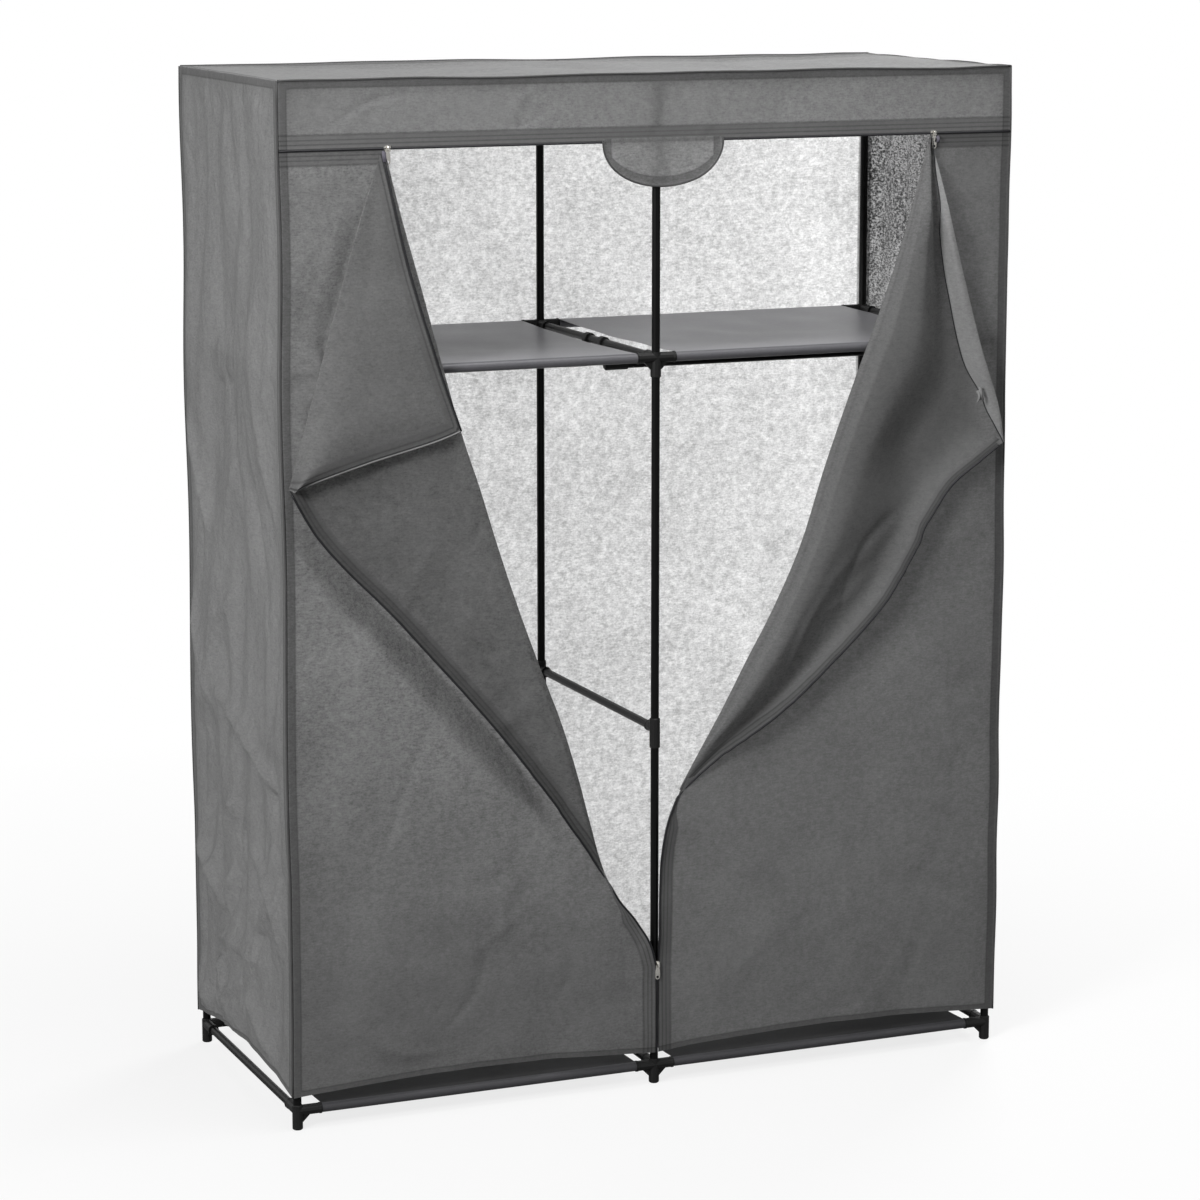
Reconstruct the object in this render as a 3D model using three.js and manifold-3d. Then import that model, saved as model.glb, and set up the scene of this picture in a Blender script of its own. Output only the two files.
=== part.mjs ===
// Portable wardrobe: a frame of steel tubes in moulded connectors, four cloth shelves, two clothes
// rails and a zipped cover of non-woven cloth, with its two doors partly unzipped and folded back.
// Millimetres, +Z up, +X to the right, the doors face -Y. The feet stand on z = 0.
import * as THREE from "three";
import { mergeVertices } from "three/addons/utils/BufferGeometryUtils.js";
import Module from "manifold-3d";

const wasm = await Module();
wasm.setup();

// Overall sizes
const overall_height = 1600;
const bay_width = 596; // between neighbouring post axes
const frame_depth = 480; // between the front and rear post axes

// Fits
const fit = 0.3; // clearance of pieces that touch
const running_fit = 0.08; // clearance of the clips that slide on a tube
const cover_gap = 1; // between the connectors' rims and the cover
const overrun = 5; // how far a cut runs past the face it opens
const merge_tolerance = 0.0001;

// Tubes
const tube_diameter = 13;
const tube_wall = 0.5;
const tube_sides = 12;

// Moulded connectors
const socket_wall = 1.5;
const socket_sides = 12;
const rim_height = 0.7;
const rim_length = 3;
const rim_slope = 0.8;
const socket_floor = 11; // from the post axis to the floor of an arm's socket
const arm_middle = 32; // from the post axis to the mouth of an arm
const arm_corner = 38;
const arm_tee = 23;
const collar_drop = 31; // from the arms' axis to the collar's lower end
const collar_chamfer = 1.2;
const gusset_reach = 19; // along the arm and down the collar
const gusset_thickness = 4;
const tee_length = 48;
const tee_arm_rise = 8; // the tee's arm sits above the middle of its sleeve

// Levels of the arms' axes
const base_axis_z = 30;
const tee_z = 571;
const shelf_axis_z = 1164;

// Feet
const foot_crown = 9.5; // from the arms' axis to the top of the foot
const foot_floor = 14; // thickness of the closed foot below the post
const foot_chamfer = 1.6;

// Clothes rails and their hangers
const rail_drop = 37; // from the depth tube's axis to the rail's axis
const rail_offset = 30; // of each rail from the middle of the depth
const clip_width = 14;
const clip_wall = 2.5;
const clip_sides = 12;
const clip_from = -75; // degrees, the ends of the open clip
const clip_to = 195;
const neck_thickness = 8;
const cup_start = 2; // from the depth tube's axis to the cup's closed end
const cup_floor = 6;
const cup_mouth = 41;
const cup_chamfer = 2;

// Shelf cloth
const sleeve_wall = 1;
const shelf_cloth = 1.2;
const sleeve_steps = 6;

// Cover cloth
const cloth = 1;
const hem_post_z = 53; // the hem's height at the posts
const hem_rise = 18; // how far it arches up between them
const hem_steps = 6;

// Zips, sliders and pulls
const zip_drop = 103; // from the top of the cover to the top zip
const zip_gap = 5; // between a zip's two tapes
const slider_length = 11;
const slider_width = 9;
const slider_nose = 2.5; // corner cut of the slider's plates
const slider_front = 1.2;
const slider_back = 0.8;
const bridge_length = 7;
const bridge_height = 3.6;
const bridge_bar = 1.2;
const bridge_width = 1.6;
const pull_length = 24;
const pull_width = 8;
const pull_neck = 5;
const pull_thickness = 1.2;
const pull_bar = 0.6; // radius of the bar under the slider's bridge
const pull_window_width = 2.6;
const pull_window_length = 4.6;
const pull_window_top = 0.9;
const pull_hole = 2.2; // radius
const pull_steps = 12;

// Folded doors: points of the front plane, as shares of the cover's half width and of the zip's height
const left_door_shares = {
  slider: [-0.723, 1],
  turn: [-0.15, 0.243], // where the fold ends and the free edge goes on
  bend: [-0.053, 0.186],
  tip: [-0.968, 0.661], // the flap's outer tip
  corner: [-0.53, 0.713], // the door's own corner, folded back a second time
};
const right_door_shares = {
  slider: [0.774, 1],
  knee: [0.412, 0.568], // the fold bends here
  turn: [0.107, 0.321],
  bend: [0.02, 0.267],
  tip: [0.988, 0.668],
  corner: [0.909, 0.716],
};
const centre_slider_share = 0.132;
const flap_drop = 42; // the folds tighten to nothing over this height below the zip
const fold_gap = 12; // from the door's sheet to the flap's
const corner_gap = 8; // from the flap's sheet to the corner's
const fold_sides = 12;
const fold_seam = 2; // how far a roll's cloth runs on into the sheets it joins

// Half-round tab over the meeting zips
const tab_centre_x = 5;
const tab_half_width = 100;
const tab_drop = 75;
const tab_seam = 9; // overlap with the valance
const tab_steps = 20;

// Worked out from the above
const tube_r = tube_diameter / 2;
const bore_r = tube_r + fit;
const socket_r = bore_r + socket_wall;
const rim_r = socket_r + rim_height;
const cover_x = bay_width + rim_r + cover_gap; // inner faces of the cover
const cover_y = frame_depth / 2 + rim_r + cover_gap;
const wall_top_z = overall_height - cloth - fit;
const top_axis_z = wall_top_z - rim_r;
const zip_z = overall_height - zip_drop;
const valance_bottom_z = zip_z + zip_gap / 2;
const door_top_z = zip_z - zip_gap / 2;
const front_reach = cover_y + cloth + fold_gap + corner_gap;
const back_reach = cover_y + cloth;
const posts_y = (front_reach - back_reach) / 2; // sets the middle of the whole depth on y = 0
const post_bottom_z = foot_floor + fit;
const tee_axis_z = tee_z + tee_arm_rise;
const edge_x = cover_x + cloth; // outer edges of the front and back sheets
const centre_slider_z = centre_slider_share * zip_z;

// Materials
const finish = (color, roughness, metalness) =>
  new THREE.MeshStandardMaterial({ color, roughness, metalness });
const steel = finish(0x0e0e0f, 0.35, 0.6);
const plastic = finish(0x232323, 0.5, 0);
const nickel = finish(0xcfcabf, 0.25, 1);
const cover_cloth = finish(0x6a6a6a, 0.9, 0);
const shelf_cloth_finish = finish(0x77777a, 0.8, 0);
cover_cloth.side = THREE.DoubleSide;

// Directions: each matrix turns +Z to the named axis
const quarter = Math.PI / 2;
const to_x = new THREE.Matrix4().makeRotationY(quarter);
const to_y = new THREE.Matrix4().makeRotationX(-quarter);
const to_minus_y = new THREE.Matrix4().makeRotationX(quarter);

// Drawing planes: u and v of an outline become X and Z, or Y and Z
const to_front = to_minus_y;
const to_side = new THREE.Matrix4().makeBasis(
  new THREE.Vector3(0, 1, 0),
  new THREE.Vector3(0, 0, 1),
  new THREE.Vector3(1, 0, 0),
);

// A closed geometry as a solid that can be joined and cut
function solid_of(geometry) {
  const bare = geometry.clone();
  bare.deleteAttribute("normal");
  bare.deleteAttribute("uv");
  const merged = mergeVertices(bare, merge_tolerance);
  const index = merged.index.array;
  const kept = [];
  for (let i = 0; i < index.length; i += 3) {
    const [a, b, c] = [index[i], index[i + 1], index[i + 2]];
    if (a !== b && b !== c && c !== a) kept.push(a, b, c);
  }
  const triVerts = new Uint32Array(kept);
  const vertProperties = merged.attributes.position.array;
  return new wasm.Manifold(new wasm.Mesh({ numProp: 3, vertProperties, triVerts }));
}

const join = (...geometries) => geometries.map(solid_of).reduce((a, b) => a.add(b));
const cut = (solid, ...geometries) => geometries.reduce((a, b) => a.subtract(solid_of(b)), solid);

function geometry_of(solid) {
  const { numProp, vertProperties, triVerts } = solid.getMesh();
  const points = new Float32Array((vertProperties.length / numProp) * 3);
  for (let i = 0; i * numProp < vertProperties.length; i++) {
    points.set(vertProperties.subarray(i * numProp, i * numProp + 3), i * 3);
  }
  const geometry = new THREE.BufferGeometry();
  geometry.setAttribute("position", new THREE.BufferAttribute(points, 3));
  geometry.setIndex(new THREE.BufferAttribute(new Uint32Array(triVerts), 1));
  geometry.computeVertexNormals();
  return geometry;
}

const wardrobe = new THREE.Group();
wardrobe.position.y = posts_y;

function place(name, geometry, material, x = 0, y = 0, z = 0) {
  const mesh = new THREE.Mesh(geometry, material);
  mesh.name = name;
  mesh.position.set(x, y, z);
  wardrobe.add(mesh);
  return mesh;
}

// A round bar along +Z from the origin
function bar(radius, length, sides) {
  const geometry = new THREE.CylinderGeometry(radius, radius, length, sides);
  return geometry.applyMatrix4(to_minus_y).translate(0, 0, length / 2);
}

// A profile of [radius, height] points turned round +Z, from the axis and back to it
function turned(profile, sides) {
  const points = profile.map(([radius, height]) => new THREE.Vector2(radius, height));
  return new THREE.LatheGeometry(points, sides).applyMatrix4(to_minus_y);
}

// An outline of [u, v] points extruded by a depth, centred on its plane
function plate(outline, depth) {
  const shape = new THREE.Shape(outline.map(([u, v]) => new THREE.Vector2(u, v)));
  return slab(shape, depth);
}

function slab(shape, depth, curveSegments = hem_steps) {
  const options = { depth, bevelEnabled: false, curveSegments };
  return new THREE.ExtrudeGeometry(shape, options).translate(0, 0, -depth / 2);
}

// A hollow tube along an axis, centred on the origin
function tube(length, direction) {
  const outer = bar(tube_r, length, tube_sides);
  const inner = bar(tube_r - tube_wall, length + 2 * overrun, tube_sides).translate(0, 0, -overrun);
  const wall = cut(solid_of(outer), inner);
  return geometry_of(wall).translate(0, 0, -length / 2).applyMatrix4(direction);
}

// Connector arm: a round bar along +Z from the post axis, with a raised rim at its mouth
function arm(length) {
  const rim_from = length - rim_length;
  return turned(
    [
      [0, 0],
      [socket_r, 0],
      [socket_r, rim_from - rim_slope],
      [rim_r, rim_from],
      [rim_r, length],
      [0, length],
    ],
    socket_sides,
  );
}

// The socket bored into an arm
const socket = () => bar(bore_r, arm_corner, socket_sides).translate(0, 0, socket_floor);

// The web in the corner under an arm that runs along +X
function gusset() {
  const web = plate(
    [
      [0, 0],
      [gusset_reach, 0],
      [gusset_reach, -socket_r],
      [socket_r, -gusset_reach],
      [0, -gusset_reach],
    ],
    gusset_thickness,
  );
  return web.applyMatrix4(to_front);
}

// The directions in which a post's connectors have arms, as turns about +Z from +X
function arm_turns(column, row) {
  const across = row === "front" ? quarter : -quarter;
  if (column === "left") return [0, across];
  if (column === "right") return [Math.PI, across];
  return [0, Math.PI, across];
}

const arm_length = (column) => (column === "middle" ? arm_middle : arm_corner);

const lift = (pieces, z) => pieces.map((piece) => piece.translate(0, 0, z));

// The arms of one connector with their webs
function arms(column, row, z) {
  const pieces = arm_turns(column, row).flatMap((turn) => [
    arm(arm_length(column)).applyMatrix4(to_x).rotateZ(turn),
    gusset().rotateZ(turn),
  ]);
  return lift(pieces, z);
}

// The sockets in those arms
function sockets(column, row, z) {
  const bores = arm_turns(column, row).map((turn) => socket().applyMatrix4(to_x).rotateZ(turn));
  return lift(bores, z);
}

// Connector on a post: its arms, and a collar that grips the post below them
function connector(column, row, z) {
  const collar = turned(
    [
      [0, -collar_drop],
      [socket_r - collar_chamfer, -collar_drop],
      [socket_r, collar_chamfer - collar_drop],
      [socket_r, socket_r],
      [0, socket_r],
    ],
    socket_sides,
  );
  return [...lift([collar], z), ...arms(column, row, z)];
}

// Tee halfway up a post: a sleeve with one arm towards the other post of its frame
const inward = (row) => (row === "front" ? to_y : to_minus_y);

function tee(row) {
  const half = tee_length / 2;
  const sleeve = turned(
    [
      [0, -half],
      [socket_r - collar_chamfer, -half],
      [socket_r, collar_chamfer - half],
      [socket_r, half - collar_chamfer],
      [socket_r - collar_chamfer, half],
      [0, half],
    ],
    socket_sides,
  );
  const branch = arm(arm_tee).applyMatrix4(inward(row));
  return [...lift([sleeve], tee_z), ...lift([branch], tee_axis_z)];
}

// Post: its tubes run from the foot to the roof, and carry the tee, shelf and roof connectors
const columns = { left: -bay_width, middle: 0, right: bay_width };
const rows = { front: -frame_depth / 2, rear: frame_depth / 2 };

function post(column, row) {
  const length = top_axis_z - post_bottom_z;
  const stem = bar(tube_r, length, tube_sides).translate(0, 0, post_bottom_z);
  const solid = join(
    stem,
    ...tee(row),
    ...connector(column, row, shelf_axis_z),
    ...connector(column, row, top_axis_z),
  );
  const hollow = bar(tube_r - tube_wall, length, tube_sides);
  return cut(
    solid,
    hollow.translate(0, 0, post_bottom_z - overrun),
    ...lift([socket().applyMatrix4(inward(row))], tee_axis_z),
    ...sockets(column, row, shelf_axis_z),
    ...sockets(column, row, top_axis_z),
  );
}

// Foot: a closed cup under the post, with the arms of the lowest level
function foot(column, row) {
  const top = base_axis_z + foot_crown;
  const cup = turned(
    [
      [0, 0],
      [socket_r - foot_chamfer, 0],
      [socket_r, foot_chamfer],
      [socket_r, top - collar_chamfer],
      [socket_r - collar_chamfer, top],
      [0, top],
    ],
    socket_sides,
  );
  const post_socket = bar(bore_r, top, socket_sides).translate(0, 0, foot_floor);
  const solid = join(cup, ...arms(column, row, base_axis_z));
  return cut(solid, post_socket, ...sockets(column, row, base_axis_z));
}

for (const [column, x] of Object.entries(columns)) {
  for (const [row, y] of Object.entries(rows)) {
    place(`post_${column}_${row}`, geometry_of(post(column, row)), steel, x, y);
    place(`foot_${column}_${row}`, geometry_of(foot(column, row)), plastic, x, y);
  }
}

// Depth tubes join front and rear posts at four levels
const levels = { base: base_axis_z, middle: tee_axis_z, shelf: shelf_axis_z, roof: top_axis_z };
const depth_tube = tube(frame_depth - 2 * (socket_floor + fit), to_y);
for (const [column, x] of Object.entries(columns)) {
  for (const [level, z] of Object.entries(levels)) {
    place(`depth_tube_${column}_${level}`, depth_tube, steel, x, 0, z);
  }
}

// Width tubes join the posts of a row at three levels
const bays = { left: -bay_width / 2, right: bay_width / 2 };
const width_tube = tube(bay_width - 2 * (socket_floor + fit), to_x);
for (const level of ["base", "shelf", "roof"]) {
  for (const [bay, x] of Object.entries(bays)) {
    for (const [row, y] of Object.entries(rows)) {
      place(`width_tube_${bay}_${row}_${level}`, width_tube, steel, x, y, levels[level]);
    }
  }
}

// Shelf: one cloth with a sewn sleeve round the front tube and another round the rear tube
function shelf_geometry() {
  const outer_r = bore_r + sleeve_wall;
  const front = -frame_depth / 2;
  const rear = frame_depth / 2;
  const under = Math.asin((outer_r - shelf_cloth) / outer_r);
  const shape = new THREE.Shape();
  shape.moveTo(front, outer_r);
  shape.lineTo(rear, outer_r);
  shape.absarc(rear, 0, outer_r, quarter, under - Math.PI, true);
  shape.absarc(rear, 0, outer_r, under - Math.PI, -Math.PI - under, true);
  shape.absarc(front, 0, outer_r, under, -quarter, true);
  shape.absarc(front, 0, outer_r, -quarter, quarter - 2 * Math.PI, true);
  for (const y of [front, rear]) {
    const bore = new THREE.Path();
    bore.absarc(y, 0, bore_r, 0, 2 * Math.PI, false);
    shape.holes.push(bore);
  }
  const length = bay_width - arm_middle - arm_corner - 2 * fit;
  return slab(shape, length, sleeve_steps).applyMatrix4(to_side);
}

const shelf = shelf_geometry();
const shelf_shift = (arm_corner - arm_middle) / 2; // the corner arms are longer
for (const [level, name] of [["base", "base"], ["shelf", "upper"]]) {
  place(`shelf_left_${name}`, shelf, shelf_cloth_finish, bays.left + shelf_shift, 0, levels[level]);
  place(`shelf_right_${name}`, shelf, shelf_cloth_finish, bays.right - shelf_shift, 0, levels[level]);
}

// Rail hanger: an open clip on a depth tube, a sloping neck, and a cup for the rail's end.
// Its rail runs along +X.
function rail_hanger() {
  const clip_r = bore_r + clip_wall;
  const from = THREE.MathUtils.degToRad(clip_from);
  const to = THREE.MathUtils.degToRad(clip_to);
  const sector = new THREE.Shape();
  sector.moveTo(0, 0);
  sector.absarc(0, 0, clip_r, from, to, false);
  const clip = slab(sector, clip_width, clip_sides / 2).applyMatrix4(to_front);
  const neck_outline = [
    [0, 0],
    [clip_r, 0],
    [cup_mouth / 2, bore_r - rail_drop],
    [cup_floor, bore_r - rail_drop],
    [clip_wall, -clip_r],
  ];
  const neck = plate(neck_outline, neck_thickness).applyMatrix4(to_front);
  const cup = turned(
    [
      [0, cup_start],
      [socket_r - cup_chamfer, cup_start],
      [socket_r, cup_start + cup_chamfer],
      [socket_r, cup_mouth],
      [0, cup_mouth],
    ],
    socket_sides,
  );
  const solid = join(clip, neck, cup.applyMatrix4(to_x).translate(0, 0, -rail_drop));
  const rail_socket = bar(bore_r, cup_mouth, socket_sides).applyMatrix4(to_x);
  const tube_bore = bar(tube_r + running_fit, 2 * clip_width, tube_sides).applyMatrix4(to_y);
  return geometry_of(
    cut(
      solid,
      rail_socket.translate(cup_floor, 0, -rail_drop),
      tube_bore.translate(0, -clip_width, 0),
    ),
  );
}

const hanger = rail_hanger();
const rail = tube(bay_width - 2 * (cup_floor + fit), to_x);
const rails = {
  left: { y: rail_offset, low: "outer", high: "inner" },
  right: { y: -rail_offset, low: "inner", high: "outer" },
};
for (const [bay, { y, low, high }] of Object.entries(rails)) {
  const low_x = bays[bay] - bay_width / 2;
  place(`clothes_rail_${bay}`, rail, steel, bays[bay], y, shelf_axis_z - rail_drop);
  place(`rail_hanger_${bay}_${low}`, hanger, plastic, low_x, y, shelf_axis_z);
  const name = `rail_hanger_${bay}_${high}`;
  place(name, hanger, plastic, low_x + bay_width, y, shelf_axis_z).rotation.z = Math.PI;
}

// Sheets of the cover
const sheet_x = cover_x + cloth / 2; // middle of the side sheets
const sheet_y = cover_y + cloth / 2; // middle of the front and back sheets

// Adds a hem from one u to another, arched between the posts that it passes
function add_hem(shape, stops) {
  for (let i = 1; i < stops.length; i++) {
    const middle = (stops[i - 1] + stops[i]) / 2;
    shape.quadraticCurveTo(middle, hem_post_z + 2 * hem_rise, stops[i], hem_post_z);
  }
}

function wall_shape(half, stops) {
  const shape = new THREE.Shape();
  shape.moveTo(-half, wall_top_z);
  shape.lineTo(-half, hem_post_z);
  add_hem(shape, [-half, ...stops, half]);
  shape.lineTo(half, wall_top_z);
  return shape;
}

const side_sheet = slab(wall_shape(cover_y - fit, []), cloth).applyMatrix4(to_side);
place("side_panel_left", side_sheet, cover_cloth, -sheet_x);
place("side_panel_right", side_sheet, cover_cloth, sheet_x);

const back_sheet = slab(wall_shape(edge_x, [0]), cloth).applyMatrix4(to_front);
place("back_panel", back_sheet, cover_cloth, 0, sheet_y);

const roof_depth = 2 * (cover_y + cloth);
const roof_sheet = new THREE.BoxGeometry(2 * edge_x, roof_depth, cloth);
place("roof_panel", roof_sheet, cover_cloth, 0, 0, overall_height - cloth / 2);

const valance_height = wall_top_z - valance_bottom_z;
const valance_sheet = new THREE.BoxGeometry(2 * edge_x, cloth, valance_height);
place("front_valance", valance_sheet, cover_cloth, 0, -sheet_y, valance_bottom_z + valance_height / 2);

// The points of the front plane that a door's shares stand for
function door_points(shares) {
  const points = Object.entries(shares).map(([name, [u, v]]) => [name, [u * edge_x, v * zip_z]]);
  return Object.fromEntries(points);
}

const left_points = door_points(left_door_shares);
const right_points = door_points(right_door_shares);

// The point of a straight edge at a height
function at_height([x0, z0], [x1, z1], z) {
  return [x0 + ((x1 - x0) * (z - z0)) / (z1 - z0), z];
}

// Half a roll of cloth along a fold, between two sheets whose middles lie a gap apart.
// It runs from one point of the front plane to another and bulges towards the given side.
function roll(from, to, gap, distance, side) {
  const inner = (gap - cloth) / 2 + merge_tolerance;
  const outer = (gap + cloth) / 2 - merge_tolerance;
  const ring = new THREE.Shape();
  ring.moveTo(-fold_seam, -outer);
  ring.absarc(0, 0, outer, -quarter, quarter, false);
  ring.lineTo(-fold_seam, outer);
  ring.lineTo(-fold_seam, inner);
  ring.absarc(0, 0, inner, quarter, -quarter, true);
  ring.lineTo(-fold_seam, -inner);
  const start = new THREE.Vector3(from[0], 0, from[1]);
  const along = new THREE.Vector3(to[0], 0, to[1]).sub(start);
  const length = along.length();
  along.normalize();
  const out = new THREE.Vector3(-along.z, 0, along.x).multiplyScalar(side);
  const forward = new THREE.Vector3().crossVectors(along, out);
  const basis = new THREE.Matrix4().makeBasis(out, forward, along);
  const half_roll = slab(ring, length, fold_sides / 2).translate(0, 0, length / 2);
  return half_roll.applyMatrix4(basis).translate(from[0], -distance - gap / 2, from[1]);
}

// A sheet of the front plane, its middle the given distance in front of it
const front_sheet = (outline, distance) =>
  plate(outline, cloth).applyMatrix4(to_front).translate(0, -distance, 0);

// Door panel: from its outer edge to the fold line, with an arched hem
function door_panel(side, edge) {
  const shape = new THREE.Shape();
  shape.moveTo(side * edge_x, door_top_z);
  for (const [x, z] of edge) shape.lineTo(x, z);
  shape.lineTo((side * zip_gap) / 2, hem_post_z);
  add_hem(shape, [(side * zip_gap) / 2, side * edge_x]);
  return slab(shape, cloth).applyMatrix4(to_front);
}

// Left door: its upper part is folded outwards, and its corner folded back over the flap
function door_left() {
  const { slider, turn, bend, tip, corner } = left_points;
  const top = [slider[0], door_top_z];
  const meeting = [-zip_gap / 2, centre_slider_z];
  const flap_top_z = zip_z - flap_drop;
  const fold_top = at_height(top, turn, flap_top_z);
  const tip_top = at_height(top, tip, flap_top_z);
  const corner_top = at_height(top, corner, flap_top_z);
  return join(
    door_panel(-1, [top, turn, bend, meeting]),
    roll(fold_top, turn, fold_gap, 0, 1),
    front_sheet([fold_top, tip_top, tip, turn], fold_gap),
    roll(tip_top, tip, corner_gap, fold_gap, -1),
    front_sheet([corner_top, tip_top, tip, corner], fold_gap + corner_gap),
  );
}

// Right door: its flap hangs the same way, with its corner gathered into a narrow strip
function door_right() {
  const { slider, knee, turn, bend, tip, corner } = right_points;
  const top = [slider[0], door_top_z];
  const meeting = [zip_gap / 2, centre_slider_z];
  const flap_top_z = zip_z - flap_drop;
  const fold_top = at_height(top, knee, flap_top_z);
  const tip_top = at_height(top, tip, flap_top_z);
  const corner_top = at_height(top, corner, flap_top_z);
  return join(
    door_panel(1, [top, knee, turn, bend, meeting]),
    roll(fold_top, knee, fold_gap, 0, -1),
    roll(knee, turn, fold_gap, 0, -1),
    front_sheet([fold_top, tip_top, tip, turn, knee], fold_gap),
    roll(tip_top, tip, corner_gap, fold_gap, 1),
    front_sheet([corner_top, tip_top, tip, corner], fold_gap + corner_gap),
  );
}

place("door_left", geometry_of(door_left()), cover_cloth, 0, -sheet_y);
place("door_right", geometry_of(door_right()), cover_cloth, 0, -sheet_y);

// Half-round tab: it hangs from the valance's lower edge in front of the zips' meeting point
function zip_cover_tab() {
  const seam_z = valance_bottom_z;
  const radius = (tab_half_width ** 2 + tab_drop ** 2) / (2 * tab_drop);
  const centre_z = seam_z - tab_drop + radius;
  const half_angle = Math.asin(tab_half_width / radius);
  const shape = new THREE.Shape();
  shape.absarc(0, centre_z, radius, -quarter - half_angle, half_angle - quarter, false);
  shape.lineTo(tab_half_width, seam_z + tab_seam);
  shape.lineTo(-tab_half_width, seam_z + tab_seam);
  return slab(shape, cloth, tab_steps / 2).applyMatrix4(to_front);
}

place("zip_cover_tab", zip_cover_tab(), cover_cloth, tab_centre_x, -sheet_y - cloth - fit);

// Zip slider: two plates on either side of the tapes, a neck in their gap, and a bridge in front.
// Drawn about the zip line, its front towards -Y and its nose turned from straight up.
function zip_slider(turn) {
  const half_w = slider_width / 2;
  const half_l = slider_length / 2;
  const outline = [
    [-half_w, -half_l],
    [half_w, -half_l],
    [half_w, half_l - slider_nose],
    [half_w - slider_nose, half_l],
    [slider_nose - half_w, half_l],
    [-half_w, half_l - slider_nose],
  ];
  const face = cloth / 2 + fit;
  const front = plate(outline, slider_front).applyMatrix4(to_front).rotateY(turn);
  const back = plate(outline, slider_back).applyMatrix4(to_front).rotateY(turn);
  const neck_length = 2 * face + slider_back + slider_front;
  const neck = new THREE.BoxGeometry(zip_gap - 2 * fit, neck_length, zip_gap - 2 * fit);
  const bridge = bridge_arch().translate(0, -face - slider_front / 2, 0);
  return geometry_of(
    join(
      front.translate(0, -face - slider_front / 2, 0),
      back.translate(0, face + slider_back / 2, 0),
      neck.translate(0, (slider_back - slider_front) / 2, 0),
      bridge,
    ),
  );
}

// The bridge: an arch in the plane of Y and Z that rises from the front plate
function bridge_arch() {
  const half = bridge_length / 2;
  const rise = slider_front / 2 + bridge_height;
  const slope = bridge_bar;
  const arch = plate(
    [
      [-half, 0],
      [-half, rise - slope],
      [slope - half, rise],
      [half - slope, rise],
      [half, rise - slope],
      [half, 0],
      [half - bridge_bar, 0],
      [half - bridge_bar, rise - bridge_bar],
      [bridge_bar - half, rise - bridge_bar],
      [bridge_bar - half, 0],
    ],
    bridge_width,
  );
  const upright = new THREE.Matrix4().makeBasis(
    new THREE.Vector3(0, 0, -1),
    new THREE.Vector3(0, -1, 0),
    new THREE.Vector3(-1, 0, 0),
  );
  return arch.applyMatrix4(upright);
}

// Zip pull: a tag with a round hole, a window for the bridge, and a bar that lies under it.
// Drawn hanging from the origin, its face towards -Y.
function zip_pull() {
  const half = pull_width / 2;
  const neck = pull_neck / 2;
  const drop = pull_length - half;
  const shape = new THREE.Shape();
  shape.moveTo(-neck, pull_bar);
  shape.lineTo(-neck, -pull_window_length);
  shape.lineTo(-half, -drop / 2);
  shape.lineTo(-half, -drop);
  shape.absarc(0, -drop, half, Math.PI, 2 * Math.PI, false);
  shape.lineTo(half, -drop / 2);
  shape.lineTo(neck, -pull_window_length);
  shape.lineTo(neck, pull_bar);
  const hole = new THREE.Path();
  hole.absarc(0, -drop, pull_hole, 0, 2 * Math.PI, false);
  const half_window = pull_window_width / 2;
  const low = pull_window_top / 2 - pull_window_length;
  const window = new THREE.Path([
    new THREE.Vector2(-half_window, -pull_bar),
    new THREE.Vector2(-half_window, low),
    new THREE.Vector2(half_window, low),
    new THREE.Vector2(half_window, -pull_bar),
  ]);
  shape.holes.push(hole, window);
  return slab(shape, pull_thickness, pull_steps / 2).applyMatrix4(to_front);
}

const pull = zip_pull();
const pull_y = sheet_y + cloth / 2 + fit + slider_front + (bridge_height - bridge_bar) / 2;
const sliders = {
  left: { x: left_points.slider[0], z: zip_z, turn: -quarter },
  right: { x: right_points.slider[0], z: zip_z, turn: quarter },
  centre: { x: 0, z: centre_slider_z, turn: 0 },
};
for (const [name, { x, z, turn }] of Object.entries(sliders)) {
  place(`zip_slider_${name}`, zip_slider(turn), nickel, x, -sheet_y, z);
  place(`zip_pull_${name}`, pull, nickel, x, -pull_y, z);
}

export default wardrobe;
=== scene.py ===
"""Portable wardrobe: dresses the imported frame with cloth, tapes, connectors, light and a camera."""

import math

import bmesh
import bpy
import numpy as np
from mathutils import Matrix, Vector

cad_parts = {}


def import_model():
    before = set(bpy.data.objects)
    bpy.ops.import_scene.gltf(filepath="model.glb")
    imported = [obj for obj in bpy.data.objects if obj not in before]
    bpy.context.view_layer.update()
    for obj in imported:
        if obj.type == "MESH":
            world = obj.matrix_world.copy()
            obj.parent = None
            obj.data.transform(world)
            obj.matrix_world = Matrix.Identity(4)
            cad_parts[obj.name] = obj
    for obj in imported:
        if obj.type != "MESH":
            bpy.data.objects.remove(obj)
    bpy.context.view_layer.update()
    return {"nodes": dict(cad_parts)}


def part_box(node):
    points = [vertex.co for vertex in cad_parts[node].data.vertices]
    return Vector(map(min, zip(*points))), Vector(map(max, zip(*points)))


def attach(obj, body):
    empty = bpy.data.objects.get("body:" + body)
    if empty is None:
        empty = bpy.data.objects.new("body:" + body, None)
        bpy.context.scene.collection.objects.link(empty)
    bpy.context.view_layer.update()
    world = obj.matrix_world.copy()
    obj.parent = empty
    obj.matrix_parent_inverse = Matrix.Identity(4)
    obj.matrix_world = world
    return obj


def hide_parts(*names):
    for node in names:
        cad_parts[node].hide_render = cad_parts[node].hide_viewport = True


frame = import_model()

MM = 0.001


# Places that the frame gives
def middle(node):
    low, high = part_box(node)
    return (low + high) / 2


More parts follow.
